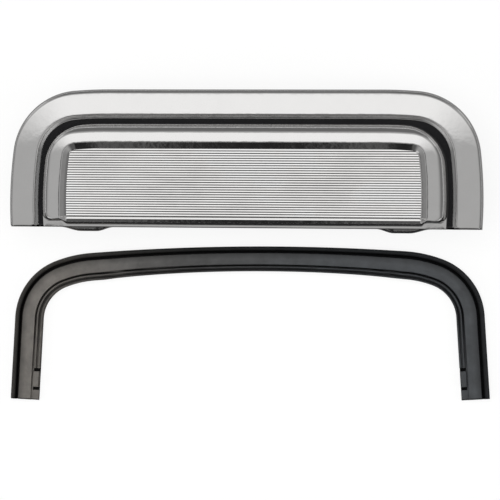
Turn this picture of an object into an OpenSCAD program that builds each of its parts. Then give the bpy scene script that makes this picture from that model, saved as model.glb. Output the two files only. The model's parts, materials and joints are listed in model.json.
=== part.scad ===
// Third brake light: a low chromed arch bezel, a raised lens bezel inside it with a fluted lens,
// a light box behind the lens, and a loose rubber seal laid beside the lamp.
// The front faces +Z and the arch rises toward +Y. z = 0 is the face that seats on the car,
// and y = 0 is the line across the widest part of the arch.

/* [Arch outline] */
// Overall width of the outer bezel
lamp_w = 330; // [300:1:380]
// Drop of the legs below the widest line
leg_drop = 19; // [15:0.5:26]
// Radius of the shoulder beside the straight top
shoulder_r = 284; // [220:1:400]
// Turn of each shoulder arc
shoulder_turn = 4.9; // [3:0.1:8]
// Radius of the upper corners
corner_r = 47; // [46.5:0.5:60]
// Radius of the bowed legs
leg_r = 290; // [240:1:400]
// Turn of each leg arc above the widest line
leg_turn = 6.9; // [5.5:0.1:9]

/* [Outer bezel] */
// Width of the outer bezel band
band_w = 20.5; // [18:0.5:24]
// Height of the band's crest above the seating face
crest_z = 7.5; // [7.1:0.1:10]
// Wall thickness of the casting
shell_t = 2.2; // [1.8:0.1:3]
// Radius of the rolled outer edge
edge_r = 3.8; // [3:0.1:4.2]
// Slope of the face beside the rolled edge
face_slope = 9; // [6:0.5:12]
// Turn of the crowned face across its width
face_turn = 4; // [2:0.5:5]
// Width of the stepped lip along the inner edge
lip_w = 2.9; // [2:0.1:4]
// Depth of the stepped lip below the crest
lip_drop = 1.9; // [1:0.1:3]
// Front of the channel floor above the seating face
floor_z = 4; // [3.4:0.1:4.6]
// Thickness of the channel floor
floor_t = 2.4; // [2:0.1:3.5]

/* [Inner bezel] */
// Width of the channel between the two bezels, at its floor
channel_w = 3.4; // [2.4:0.1:5]
// Height of the inner bezel above the channel floor
inner_h = 13; // [11.5:0.1:16]
// Width of the inner bezel from the foot of its outer wall to the lens opening
frame_w = 17.4; // [16:0.1:19]
// Draft of the inner bezel's outer wall
inner_draft = 8; // [4:0.5:12]
// Radius of the inner bezel's rolled outer edge
roll_r = 7.4; // [6:0.1:8]
// Width of the slope that falls to the lens
slope_w = 3.9; // [3:0.1:5]
// Front of the ledge that the lens bears on
ledge_z = 14; // [12:0.1:15]
// Thickness of that ledge
ledge_t = 1.6; // [1.2:0.1:2.5]
// Height of the bottom rail below the lens opening
rail_h = 7.1; // [6:0.1:9]
// Front of the bottom rail's lip
rail_lip_z = 8; // [6.5:0.1:9.5]
// Set-back of the legs' rolled lower ends from the bottom edge
end_in = 3.8; // [3:0.1:5]
// Radius of those rolled ends
end_r = 3; // [2:0.1:4]
// Distance of each cast lug from the middle
lug_x = 108.5; // [80:0.5:116]
// Depth of the lugs below the bottom edge
lug_depth = 2.8; // [1.5:0.1:4]

/* [Lens] */
// Overlap of the lens plate behind the ledge
lens_lap = 2.6; // [2:0.1:3.5]
// Thickness of the lens plate
lens_t = 2.6; // [2:0.1:4]
// Rise of the fluted field through the opening, below the flutes
field_rise = 1.2; // [0.5:0.1:1.6]
// Number of flutes
flutes = 28; // [20:1:34]
// Height of each flute
flute_h = 0.4; // [0.3:0.05:0.8]
// Thickness of the lens seal
lens_seal_t = 1.2; // [0.8:0.1:2]

/* [Light box] */
// Depth of the light box behind the seating face
box_depth = 34; // [30:0.5:45]
// Wall thickness of the light box
box_wall = 2.2; // [1.8:0.1:3]
// Thickness of the light box flange
box_flange_t = 2.6; // [2:0.1:4]
// Thickness of the back cover
cover_t = 2.6; // [2.4:0.1:4]
// Thickness of the cover seal
cover_seal_t = 1.2; // [0.8:0.1:2]
// Depth of the circuit board's front behind the seating face
board_depth = 16.4; // [13:0.1:20]
// Thickness of the circuit board
board_t = 1.6; // [1:0.1:2.4]
// LEDs in each row
led_count = 12; // [8:1:14]
// Spacing of the LEDs along a row
led_pitch = 18.5; // [14:0.5:20]
// Spacing of the two rows of LEDs
led_rows = 19; // [14:0.5:22]

/* [Fasteners] */
// Radius of the mounting studs
stud_r = 2.5; // [2:0.25:3]
// Length of the mounting studs behind the seating face
stud_l = 27; // [18:0.5:30]
// Distance of each upper stud from the middle
stud_x = 110; // [98:0.5:116]
// Step from the studs' thread down to their cast-in roots
stud_step = 0.35; // [0.2:0.05:0.6]
// Radius of the small screws
screw_r = 1.5; // [1.2:0.1:1.8]
// Clearance round a screw in its hole
screw_clear = 0.25; // [0.1:0.05:0.5]
// Radius of the round screw heads
head_r = 2.7; // [2.4:0.1:3]
// Height of the round screw heads
head_h = 1.6; // [1.2:0.1:1.7]
// Reach of the screws into the inner bezel
bezel_reach = 5; // [3:0.1:7]
// Reach of the screws into the posts and columns
post_reach = 7; // [5:0.5:9]
// Distance of the outer box screws from the ends of the straight top
screw_inset = 16; // [10:0.5:24]
// Clearance between mating parts
fit = 0.3; // [0.2:0.05:0.6]

/* [Cable inlet] */
// Radius of the bore for the lead
cable_r = 3; // [2:0.25:4]
// Depth of the inlet behind the seating face
inlet_depth = 23; // [20:0.5:28]
// Distance of the inlet from the middle
inlet_x = 30; // [20:1:60]

/* [Body seal] */
// Width of the seal's section
seal_band = 19.6; // [17:0.1:23]
// Radius of the seal's rounded outer bead
bead_r = 1.85; // [1.5:0.05:2.2]
// Height of the outer bead
bead_z = 7.6; // [6.8:0.1:9]
// Height of the flat band beside it
band_z = 6.1; // [5.2:0.1:6.6]
// Height of the groove floors
groove_z = 3.6; // [2.6:0.1:4.2]
// Width of the outer groove
groove_w = 1.4; // [1:0.1:2]
// Radius of the narrow ridge
ridge_r = 0.7; // [0.5:0.05:0.8]
// Radius of the inner lip
seal_lip_r = 0.775; // [0.6:0.025:0.9]
// Length of the trimmed leg ends
trim_l = 29; // [22:0.5:36]
// Length of the tab left on each trimmed end
tab_l = 10.5; // [8:0.5:14]
// Distance of that tab from the leg's end
tab_at = 10; // [8:0.5:14]
// Spread of the seal's legs beyond the lamp's width
seal_spread = 9; // [4:0.5:14]
// Height of the seal from the crown to the leg ends
seal_h = 107; // [100:0.5:120]
// Radius of the seal's shoulders
seal_shoulder_r = 90; // [70:1:120]
// Radius of the seal's corners
seal_corner_r = 45; // [40:0.5:60]
// Gap between the lamp's bottom edge and the seal laid beside it
seal_gap = 12; // [8:0.5:40]
// Sideways position of the laid seal
seal_shift = -1.5; // [-20:0.5:20]
// Turn of the laid seal
seal_turn = 0.8; // [-3:0.1:3]

/* [Hidden] */
$fn = 48;
eps = 0.01;

// Arch path: a straight top, then shoulder, corner and leg arcs that meet in line.
leg_cx = lamp_w / 2 - leg_r;
corner_c = [leg_cx + (leg_r - corner_r) * cos(leg_turn), (leg_r - corner_r) * sin(leg_turn)];
shoulder_c = [corner_c[0] - (shoulder_r - corner_r) * sin(shoulder_turn),
  corner_c[1] - (shoulder_r - corner_r) * cos(shoulder_turn)];
top_half = shoulder_c[0];
top_y = shoulder_c[1] + shoulder_r;
base_y = -leg_drop;
tail_turn = asin((leg_drop + 6) / (leg_r - 50));

// Insets from the outer outline
inner_u = band_w + channel_w;
window_u = inner_u + frame_w;
lens_u = window_u - lens_lap;
pocket_u = lens_u - fit;
pocket_wall_u = pocket_u - 2;
floor_u = pocket_wall_u - 0.5;
boss_r = 2.4 * screw_r;
boss_u = pocket_wall_u - boss_r;
stud_u = band_w + 4.9;
stud_boss_r = stud_r + 0.9;
stud_root_r = stud_r - stud_step;
box_flange_u = stud_u + stud_boss_r + 0.8;
box_u = window_u - 0.2;
box_in_u = box_u + box_wall;

// Levels along z
floor_back = floor_z - floor_t;
inner_crest = floor_z + inner_h;
lens_front = ledge_z - ledge_t;
lens_back = lens_front - lens_t;
box_front = lens_back - lens_seal_t;
flange_front = floor_back - 0.4;
box_flange_back = flange_front - box_flange_t;
bench_z = -box_depth;
cover_front = bench_z + cover_t;
box_rear = cover_front + cover_seal_t;
board_front = -board_depth;
board_back = board_front - board_t;

// Heights along y at the bottom rail and behind it
window_y = base_y + rail_h;
lens_y = window_y - 2.4;
pocket_y = lens_y - fit;
box_y = window_y + 0.2;
box_in_y = box_y + box_wall;
box_mid_y = (box_in_y + top_y - box_in_u) / 2;

// Points on an arc in the plane
function arc(c, r, from, to, n) =
  [for (i = [0 : n]) let (a = from + (to - from) * i / n) [c[0] + r * cos(a), c[1] + r * sin(a)]];
function flip(pts) = [for (i = [len(pts) - 1 : -1 : 0]) [-pts[i][0], pts[i][1]]];
// Right half of the arch outline, inset by u and cut at height y0
function half_outline(u, y0) = concat(
  arc([leg_cx, 0], leg_r - u, asin(y0 / (leg_r - u)), leg_turn, 6),
  arc(corner_c, max(corner_r - u, 0.4), leg_turn, 90 - shoulder_turn, 10),
  arc(shoulder_c, shoulder_r - u, 90 - shoulder_turn, 90, 3));
function outline(u, y0) = concat(half_outline(u, y0), flip(half_outline(u, y0)));
// Positions at an inset: along the straight top, on a shoulder, and on a leg
function top_at(x, u) = [x, top_y - u];
function shoulder_at(x, u) =
  [x, shoulder_c[1] + sqrt(pow(shoulder_r - u, 2) - pow(abs(x) - top_half, 2))];
function leg_at(side, y, u) = [side * (leg_cx + sqrt(pow(leg_r - u, 2) - y * y)), y];

screw_x = top_half - screw_inset;
box_screw_at = [top_at(-screw_x, boss_u), top_at(0, boss_u), top_at(screw_x, boss_u),
  leg_at(-1, 5, boss_u), leg_at(1, 5, boss_u)];
bezel_screw_at = [top_at(-screw_x / 2, boss_u), top_at(screw_x / 2, boss_u), leg_at(-1, 22, boss_u),
  leg_at(1, 22, boss_u), leg_at(-1, -9, boss_u), leg_at(1, -9, boss_u)];
stud_at = [shoulder_at(-stud_x, stud_u), shoulder_at(stud_x, stud_u),
  leg_at(-1, 0, stud_u), leg_at(1, 0, stud_u)];
column_r = screw_r + 1.9;
column_u = box_in_u + column_r - 0.6;
cover_x = screw_x - 8;
cover_screw_at = [top_at(-cover_x, column_u), top_at(cover_x, column_u), leg_at(-1, 8, column_u),
  leg_at(1, 8, column_u), [-cover_x, box_in_y + column_r - 0.6], [cover_x, box_in_y + column_r - 0.6]];
post_at = [for (x = [-4, -2, 2, 4]) [x * led_pitch, box_mid_y]];
led_at = [for (i = [0 : led_count - 1], s = [-1, 1])
  [(i - (led_count - 1) / 2) * led_pitch, box_mid_y + s * led_rows / 2]];

// Section carried along the arch; draw it with x = -inset and y = height.
// Every second piece is a hair thinner and runs a little way into its neighbours.
seam = 0.03;
function lap_turn(r) = atan(0.4 / r);
module turned(c, r, from, to) translate(c) rotate(from) rotate_extrude(angle = to - from)
  translate([r, 0]) children();
module thin_turned(c, r, from, to) turned(c, r, from - lap_turn(r), to + lap_turn(r))
  offset(delta = -seam) children();
module arch_sweep() {
  translate([-top_half, top_y, 0]) rotate([90, 0, 90]) linear_extrude(2 * top_half) children();
  for (m = [0, 1]) mirror([m, 0, 0]) {
    thin_turned(shoulder_c, shoulder_r, 90 - shoulder_turn, 90) children();
    turned(corner_c, corner_r, leg_turn, 90 - shoulder_turn) children();
    thin_turned([leg_cx, 0], leg_r, -tail_turn, leg_turn) children();
  }
}
module section(pts) polygon([for (p = pts) [-p[0], p[1]]]);
module plate(u, y0, z0, z1) translate([0, 0, z0]) linear_extrude(z1 - z0) polygon(outline(u, y0));
module along_x(half, pts) translate([-half, 0, 0]) rotate([90, 0, 90]) linear_extrude(2 * half) polygon(pts);
module below_base() translate([-lamp_w, base_y - 200, -100]) cube([2 * lamp_w, 200, 200]);
module rod(at, r, z0, z1) translate([at[0], at[1], z0]) cylinder(r = r, h = z1 - z0);
module cone(at, r0, r1, z0, z1) translate([at[0], at[1], z0]) cylinder(r1 = r0, r2 = r1, h = z1 - z0);

// Outer bezel: low crowned face, stepped inner lip and channel floor
crest_u = band_w - lip_w - 1;
face_end = face_slope - face_turn;
roll_end_u = edge_r - edge_r * sin(face_slope);
face_r = (crest_u - roll_end_u) / (sin(face_slope) - sin(face_end));
roll_z = crest_z - face_r * (cos(face_end) - cos(face_slope)) - edge_r * cos(face_slope);
face_c = [roll_end_u + face_r * sin(face_slope),
  roll_z + edge_r * cos(face_slope) - face_r * cos(face_slope)];
nose_c = [crest_u + sin(face_end), crest_z - cos(face_end)];
lip_z = crest_z - lip_drop;
outer_front = concat([[0, 0]],
  arc([edge_r, roll_z], edge_r, 180, 90 + face_slope, 6),
  arc(face_c, face_r, 90 + face_slope, 90 + face_end, 5),
  arc(nose_c, 1, 90 + face_end, 0, 6),
  arc([band_w - 0.7, lip_z - 0.7], 0.7, 90, 0, 4));
outer_hollow = concat(
  [[band_w - shell_t, 0], [band_w - shell_t, lip_z - shell_t - 0.6]],
  arc(face_c, face_r - shell_t, 90 + face_end, 90 + face_slope, 5),
  arc([edge_r, roll_z], edge_r - shell_t, 90 + face_slope, 180, 4),
  [[shell_t, 0]]);
outer_floor = [[band_w, floor_z], [floor_u, floor_z], [floor_u, floor_back], [band_w, floor_back]];
module outer_bezel() color("silver") difference() {
  union() {
    arch_sweep() section(concat(outer_front, outer_floor, [[band_w, 0]], outer_hollow));
    intersection() {
      arch_sweep() section(concat(outer_front, [[band_w, 0]]));
      translate([-lamp_w, base_y - 1, -1]) cube([2 * lamp_w, shell_t + 1, crest_z + 2]);
    }
    for (p = stud_at) rod(p, stud_boss_r, 0, floor_back + 0.5);
  }
  below_base();
  for (p = stud_at) rod(p, stud_root_r + eps, -1, floor_z - 0.8);
  for (p = box_screw_at) rod(p, screw_r + screw_clear, floor_back - 1, floor_z + 1);
  for (p = bezel_screw_at) {
    rod(p, screw_r + screw_clear, floor_back - 1, floor_z + 1);
    cone(p, 2 * screw_r + screw_clear, screw_r + screw_clear, floor_back, floor_back + screw_r);
  }
}

// Inner bezel: drafted outer wall, rolled edge, crowned face, slope to the lens, ledge and lens pocket
inner_face_slope = 8;
inner_face_end = 4;
roll_end = 17;
inner_face_u = window_u - slope_w;
wall_h = inner_crest - roll_r - floor_z;
roll_u = inner_u + wall_h * tan(inner_draft) + roll_r * cos(inner_draft);
inner_roll_u = roll_u - roll_r * sin(roll_end);
inner_face_r = (inner_face_u - inner_roll_u) / (sin(inner_face_slope) - sin(inner_face_end));
roll_c = [roll_u, inner_crest - inner_face_r * (cos(inner_face_end) - cos(inner_face_slope))
  - roll_r * cos(roll_end)];
inner_face_c = [inner_face_u + inner_face_r * sin(inner_face_end),
  inner_crest - inner_face_r * cos(inner_face_end)];
inner_slope = atan2(inner_crest - ledge_z, slope_w);
inner_top = concat([[inner_u, floor_z]],
  arc(roll_c, roll_r, 180 - inner_draft, 90 + roll_end, 8),
  arc(inner_face_c, inner_face_r, 90 + inner_face_slope, 90 + inner_face_end, 4),
  arc([inner_face_u, inner_crest - 0.8], 0.8, 80, 90 - inner_slope, 3),
  [[window_u, ledge_z], [window_u, lens_front], [pocket_u, lens_front]]);
inner_core = concat([[pocket_u, flange_front], [pocket_wall_u, flange_front],
  [pocket_wall_u, inner_crest - 3.4]],
  arc(roll_c, roll_r - shell_t, 100, 180 - inner_draft, 6), [[inner_u + shell_t, floor_z]]);
groove_u = roll_u - roll_r + shell_t;
rail_crest = [window_y - 1.4, ledge_z + 0.3];
// Bottom envelope that rolls the lower ends of the legs
end_roll = concat([[base_y, -50], [base_y, rail_lip_z - 1]],
  arc([base_y + 1, rail_lip_z - 1], 1, 180, 90, 4), [[base_y + end_in, rail_lip_z]],
  arc([base_y + end_in + end_r, inner_crest + 0.2 - end_r], end_r, 180, 90, 7),
  [[base_y + end_in + end_r + 1, 60], [200, 60], [200, -50]]);
rail = concat([[base_y, flange_front], [base_y, rail_lip_z - 1]],
  arc([base_y + 1, rail_lip_z - 1], 1, 180, 90, 4),
  [[base_y + 2.2, rail_lip_z], rail_crest - [0.9, 1], rail_crest - [0.3, 0.1], rail_crest + [0.1, 0],
   [window_y, ledge_z], [window_y, lens_front], [pocket_y, lens_front], [pocket_y, flange_front]]);
lug_side = [[base_y + 1, flange_front], [base_y - lug_depth, flange_front],
  [base_y - lug_depth, flange_front + 0.8], [base_y - lug_depth * 0.6, rail_lip_z - 1.8],
  [base_y, rail_lip_z - 1], [base_y + 1, rail_lip_z - 1]];
lug_plan = [[lug_x - 17, base_y], [lug_x - 6, base_y - lug_depth], [lug_x + 6, base_y - lug_depth],
  [lug_x + 21, base_y], [lug_x + 21, base_y + 1], [lug_x - 17, base_y + 1]];
module inner_bezel() color("gainsboro") difference() {
  union() {
    intersection() {
      union() {
        arch_sweep() section(concat(inner_top, inner_core));
        for (p = concat(box_screw_at, bezel_screw_at)) rod(p, boss_r + 0.3, floor_z, inner_crest - 2.4);
      }
      along_x(lamp_w / 2, end_roll);
    }
    intersection() {
      along_x(lamp_w / 2, rail);
      union() {
        plate(inner_u + 1.4, base_y - 1, floor_z, roll_c[1]);
        plate(groove_u - 0.4, base_y - 1, floor_z + 1, 40);
        plate(pocket_wall_u + 0.6, base_y - 1, -20, floor_z);
      }
    }
    for (m = [0, 1]) mirror([m, 0, 0]) intersection() {
      along_x(lamp_w / 2, lug_side);
      translate([0, 0, -20]) linear_extrude(60) polygon(lug_plan);
      union() {
        plate(pocket_wall_u + 0.6, base_y - 1, -30, 30);
        translate([-lamp_w, base_y - 30, -30]) cube([2 * lamp_w, 30, 60]);
      }
    }
  }
  for (p = concat(box_screw_at, bezel_screw_at))
    rod(p, screw_r + eps, floor_z - 1, floor_z + bezel_reach + 0.6);
}

// Lens: plate behind the ledge and a fluted field that fills the opening
field_u = window_u + fit;
field_y = window_y + fit;
field_z = lens_front + field_rise;
flute_pitch = (top_y - field_u - field_y) / flutes;
flute_r = (pow(flute_pitch / 2, 2) + flute_h * flute_h) / (2 * flute_h);
module fluted_lens() color("whitesmoke") {
  plate(lens_u, lens_y, lens_back, lens_front);
  intersection() {
    translate([-lamp_w / 2, 0, 0]) rotate([90, 0, 90]) linear_extrude(lamp_w) {
      translate([field_y, lens_front - 1]) square([top_y - field_u - field_y, field_rise + 1]);
      for (i = [0 : flutes - 1])
        translate([field_y + (i + 0.5) * flute_pitch, field_z + flute_h - flute_r]) circle(r = flute_r);
    }
    plate(field_u, field_y, lens_front - 0.5, field_z + 2);
  }
}

module lens_seal() color("dimgray") difference() {
  plate(lens_u + 0.4, lens_y + 0.4, box_front, lens_back);
  plate(box_in_u - 0.8, box_in_y - 0.8, box_front - 1, lens_back + 1);
}

// Light box: flange, walls and the columns that take the cover screws
module light_box() color("dimgray") difference() {
  union() {
    plate(box_flange_u, base_y + 1, box_flange_back, flange_front);
    plate(box_u, box_y, box_rear, box_front);
  }
  difference() {
    plate(box_in_u, box_in_y, box_rear - 1, box_front + 1);
    for (p = cover_screw_at) rod(p, column_r, box_rear - 2, box_rear + post_reach + 3);
  }
  for (p = cover_screw_at) rod(p, screw_r - 0.1 + eps, box_rear - 1, box_rear + post_reach + 1);
  for (p = box_screw_at) rod(p, screw_r + screw_clear, box_flange_back - 1, flange_front + 1);
  translate([inlet_x, box_y - 1, -inlet_depth]) rotate([-90, 0, 0])
    cylinder(r = cable_r + 2, h = box_wall + 2);
  translate([breather_x - box_wall - 2, 0, -inlet_depth]) rotate([0, 90, 0])
    cylinder(r = 2.5, h = box_wall + 4);
}

// Reflector tray
tray_u = box_in_u + 2 * fit;
tray_y = box_in_y + 2 * fit;
tray_t = 1.2;
module reflector() color("white") difference() {
  plate(tray_u, tray_y, board_front, box_front - 0.4);
  plate(tray_u + tray_t, tray_y + tray_t, board_front + tray_t, box_front + 1);
  for (p = led_at) rod(p, 2.6, board_front - 1, board_front + 3);
  for (p = post_at) rod(p, screw_r + screw_clear, board_front - 1, board_front + 3);
}

// Circuit board and what stands on it
module led_board() color("green") difference() {
  plate(tray_u + tray_t, tray_y + tray_t, board_back, board_front);
  for (p = post_at) rod(p, screw_r + screw_clear, board_back - 1, board_front + 1);
}
module leds() color("ivory") for (p = led_at) translate([p[0], p[1], board_front]) {
  translate([-1.75, -1.4, 0]) cube([3.5, 2.8, 1.1]);
  translate([0, 0, 1.1]) cylinder(r = 1.2, h = 0.5);
}
module resistors() color("black") for (i = [-3, -2, -1, 1, 2, 3])
  translate([i * led_pitch * 1.25 - 1.6, box_mid_y + 8, board_back - 0.6]) cube([3.2, 1.6, 0.6]);
module regulator() color("black") translate([-56, box_mid_y - 12, board_back - 4.4]) union() {
  cube([10, 9, 4.4]);
  translate([0, 8.5, 3]) cube([10, 3, 1.4]);
}
module diode() color("black") translate([-24, box_mid_y - 10, board_back - 2.3]) cube([4.6, 3.6, 2.3]);
module terminal_block() color("seagreen")
  translate([inlet_x - 6, box_mid_y - 13.5, board_back - 8.5]) difference() {
  cube([12, 9, 8.5]);
  for (x = [3, 9]) {
    translate([x, -1, 5.2]) rotate([-90, 0, 0]) cylinder(r = 1.4, h = 7);
    translate([x, 5, -1]) cylinder(r = 1.6, h = 3);
  }
}
// Round screw head with a driver recess, standing toward +z on its seat
module pan_head(r, h) difference() {
  cylinder(r = r, h = h);
  for (a = [0, 90]) rotate(a) translate([-r * 0.6, -0.35, h - 0.8]) cube([r * 1.2, 0.7, 2]);
}
module board_screws() color("lightgray") for (p = post_at) {
  translate([p[0], p[1], board_front + tray_t]) pan_head(head_r, head_h);
  rod(p, screw_r, board_back - post_reach, board_front + tray_t + 0.2);
}

// Back cover with board posts; its screw heads sit in pockets
module back_cover() color("dimgray") difference() {
  union() {
    plate(box_u, box_y, bench_z, cover_front);
    for (p = post_at) rod(p, 3.4, cover_front - 1, board_back);
  }
  for (p = post_at) rod(p, screw_r + eps, board_back - post_reach - 1, board_back + 1);
  for (p = cover_screw_at) {
    rod(p, head_r + fit, bench_z - 1, bench_z + head_h + 0.1);
    rod(p, screw_r - 0.1 + screw_clear, bench_z, cover_front + 1);
  }
}
module cover_seal() color("black") difference() {
  plate(box_u + 0.4, box_y + 0.4, cover_front, box_rear);
  plate(box_in_u - 0.3, box_in_y - 0.3, cover_front - 1, box_rear + 1);
}
module cover_screws() color("lightgray") for (p = cover_screw_at) {
  translate([p[0], p[1], bench_z + head_h + 0.1]) mirror([0, 0, 1]) pan_head(head_r, head_h);
  rod(p, screw_r - 0.1, bench_z + head_h - 0.1, box_rear + post_reach);
}
module box_screws() color("lightgray") for (p = box_screw_at) {
  translate([p[0], p[1], box_flange_back]) mirror([0, 0, 1]) pan_head(head_r, head_h);
  rod(p, screw_r, box_flange_back - 0.2, floor_z + bezel_reach);
}
module bezel_screws() color("lightgray") for (p = bezel_screw_at) difference() {
  union() {
    cone(p, 2 * screw_r, screw_r, floor_back, floor_back + screw_r);
    rod(p, screw_r, floor_back + screw_r - 0.1, floor_z + bezel_reach);
  }
  for (a = [0, 90]) translate([p[0], p[1], floor_back - 1]) rotate(a)
    translate([-1.6, -0.35, 0]) cube([3.2, 0.7, 1.7]);
}

// Rubber inlet, gripped in the bottom wall of the light box
module cable_grommet() color("black")
  translate([inlet_x, box_y, -inlet_depth]) rotate([90, 0, 0]) difference() {
  union() {
    translate([0, 0, -box_wall]) cylinder(r = cable_r + 2 - eps, h = box_wall);
    cylinder(r = cable_r + 3.4, h = 1.6);
    translate([0, 0, 1.6]) cylinder(r1 = cable_r + 2.6, r2 = cable_r + 1.4, h = 3.6);
    translate([0, 0, -box_wall - 1.6]) cylinder(r = cable_r + 3.4, h = 1.6);
  }
  translate([0, 0, -box_wall - 3]) cylinder(r = cable_r, h = box_wall + 12);
}
breather_x = lamp_w / 2 - box_u;
module breather_plug() color("slategray")
  translate([breather_x, 0, -inlet_depth]) rotate([0, 90, 0]) difference() {
  union() {
    translate([0, 0, -box_wall - 1.5]) cylinder(r = 2.5 - eps, h = box_wall + 1.5 + 0.2);
    cylinder(r = 4.2, h = 2.2);
  }
  translate([0, 0, -box_wall - 3]) cylinder(r = 1, h = box_wall + 4);
  for (a = [0, 60, 120]) rotate(a) translate([-5, -0.4, 1.4]) cube([10, 0.8, 2]);
}

module mounting_studs() color("silver") for (p = stud_at) {
  rod(p, stud_root_r, -0.5, floor_z - 0.8);
  rod(p, stud_r, 0.8 - stud_l, 0);
  cone(p, stud_r - 0.8, stud_r, -stud_l, 0.8 - stud_l);
}

// Body seal: crown, shoulder and corner arcs and straight flared legs
crown_turn = 4.1;
seal_a1 = crown_turn + 17;
seal_a2 = seal_a1 + 65.6;
seal_run = seal_shoulder_r * (sin(seal_a1) - sin(crown_turn)) + seal_corner_r * (sin(seal_a2) - sin(seal_a1));
seal_fall = seal_shoulder_r * (cos(crown_turn) - cos(seal_a1)) + seal_corner_r * (cos(seal_a1) - cos(seal_a2));
seal_cot = cos(seal_a2) / sin(seal_a2);
crown_r = ((lamp_w + seal_spread) / 2 - seal_run - seal_cot * (seal_h - seal_fall))
  / (sin(crown_turn) - (1 - cos(crown_turn)) * seal_cot);
seal_leg = (seal_h - seal_fall - crown_r * (1 - cos(crown_turn))) / sin(seal_a2);
seal_c1 = [(crown_r - seal_shoulder_r) * sin(crown_turn),
  -crown_r + (crown_r - seal_shoulder_r) * cos(crown_turn)];
seal_c2 = seal_c1 + (seal_shoulder_r - seal_corner_r) * [sin(seal_a1), cos(seal_a1)];
seal_knee = seal_c2 + seal_corner_r * [sin(seal_a2), cos(seal_a2)];
module seal_leg_frame() translate(seal_knee) rotate(90 - seal_a2) children();
module seal_sweep() {
  turned([0, -crown_r], crown_r, 90 - crown_turn, 90 + crown_turn) children();
  for (m = [0, 1]) mirror([m, 0, 0]) {
    thin_turned(seal_c1, seal_shoulder_r, 90 - seal_a1, 90 - crown_turn) children();
    turned(seal_c2, seal_corner_r, 90 - seal_a2, 90 - seal_a1) children();
    seal_leg_frame() translate([0, 0.4, 0]) rotate([90, 0, 0]) linear_extrude(seal_leg + 0.4)
      offset(delta = -seam) children();
  }
}
band_from = 2 * bead_r + groove_w;
lip_from = seal_band - 2 * seal_lip_r;
ridge_from = lip_from - groove_w + 0.3 - 2 * ridge_r;
band_to = ridge_from - groove_w + 0.15;
tab_w = seal_band - ridge_from + 0.35;
seal_section = concat([[0, 0]], arc([bead_r, bead_z - bead_r], bead_r, 180, 0, 8),
  [[2 * bead_r, groove_z], [band_from, groove_z], [band_from, band_z - 0.4], [band_from + 0.4, band_z],
   [band_to - 0.4, band_z], [band_to, band_z - 0.4], [band_to, groove_z], [ridge_from, groove_z]],
  arc([ridge_from + ridge_r, band_z], ridge_r, 180, 0, 6),
  [[ridge_from + 2 * ridge_r, groove_z], [lip_from, groove_z]],
  arc([lip_from + seal_lip_r, band_z - 0.9], seal_lip_r, 180, 0, 6), [[seal_band, 0]]);
module body_seal() color("#222222")
  translate([seal_shift, base_y - seal_gap, bench_z]) rotate(seal_turn) {
    difference() {
      seal_sweep() section(seal_section);
      for (m = [0, 1]) mirror([m, 0, 0]) seal_leg_frame() {
        translate([-seal_band - 1, -seal_leg - 1, groove_z]) cube([seal_band - band_to + 1, trim_l + 1, 10]);
        translate([-seal_band - 1, -seal_leg + tab_at - 2.3, groove_z - 1.4]) cube([tab_w + 1, 2.3, 10]);
      }
    }
    for (m = [0, 1]) mirror([m, 0, 0]) seal_leg_frame()
      translate([-seal_band + 0.3, -seal_leg + tab_at, groove_z - 0.5])
        cube([tab_w, tab_l, band_z + 0.8 - groove_z]);
  }

outer_bezel();
inner_bezel();
fluted_lens();
lens_seal();
light_box();
reflector();
led_board();
leds();
resistors();
regulator();
diode();
terminal_block();
board_screws();
back_cover();
cover_seal();
cover_screws();
box_screws();
bezel_screws();
cable_grommet();
breather_plug();
mounting_studs();
body_seal();
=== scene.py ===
"""Third brake light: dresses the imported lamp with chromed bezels, a fluted lens, threaded studs and a
grooved rubber seal, and sets a plain studio round it. One shared frame in metres: +Z out of the lens,
+Y to the crown of the arch, z = 0 on the face that seats on the car."""
import json
import math
from types import SimpleNamespace

import bmesh
import bpy
import numpy as np
from mathutils import Matrix, Vector


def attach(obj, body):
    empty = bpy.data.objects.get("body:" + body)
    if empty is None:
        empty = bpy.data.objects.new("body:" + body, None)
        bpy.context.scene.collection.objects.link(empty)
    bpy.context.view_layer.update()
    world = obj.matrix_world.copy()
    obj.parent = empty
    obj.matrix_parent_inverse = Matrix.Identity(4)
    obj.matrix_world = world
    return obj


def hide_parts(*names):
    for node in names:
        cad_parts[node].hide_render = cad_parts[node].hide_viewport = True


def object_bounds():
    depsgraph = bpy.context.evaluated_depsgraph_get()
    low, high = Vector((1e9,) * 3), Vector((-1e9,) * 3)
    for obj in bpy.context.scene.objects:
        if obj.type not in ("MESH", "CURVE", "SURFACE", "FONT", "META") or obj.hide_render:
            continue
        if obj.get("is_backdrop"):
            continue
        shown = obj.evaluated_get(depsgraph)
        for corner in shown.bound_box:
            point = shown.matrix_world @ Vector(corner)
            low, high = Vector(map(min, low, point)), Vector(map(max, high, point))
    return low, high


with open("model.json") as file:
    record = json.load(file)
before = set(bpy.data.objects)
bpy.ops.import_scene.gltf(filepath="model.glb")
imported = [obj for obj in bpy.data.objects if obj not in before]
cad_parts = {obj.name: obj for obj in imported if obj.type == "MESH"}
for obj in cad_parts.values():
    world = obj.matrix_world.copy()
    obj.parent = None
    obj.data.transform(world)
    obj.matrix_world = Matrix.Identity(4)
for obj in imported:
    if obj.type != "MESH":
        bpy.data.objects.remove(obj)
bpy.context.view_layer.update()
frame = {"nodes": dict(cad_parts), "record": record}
MM = 0.001

bl_info = {
    "name": "Third Brake Light",
    "version": (1, 0, 0),
    "blender": (4, 5, 0),
    "location": "View3D > Sidebar > Brake Light",
    "description": "Chromed bezels, fluted lens, fittings and rubber seal of a third brake light",
    "category": "Add Mesh",
}


# Sizes and colours

def linear(code):
    """Linear colour of an sRGB hex code."""
    parts = [int(code[i:i + 2], 16) / 255 for i in (1, 3, 5)]
    return [c / 12.92 if c <= 0.04045 else ((c + 0.055) / 1.055) ** 2.4 for c in parts]


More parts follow.
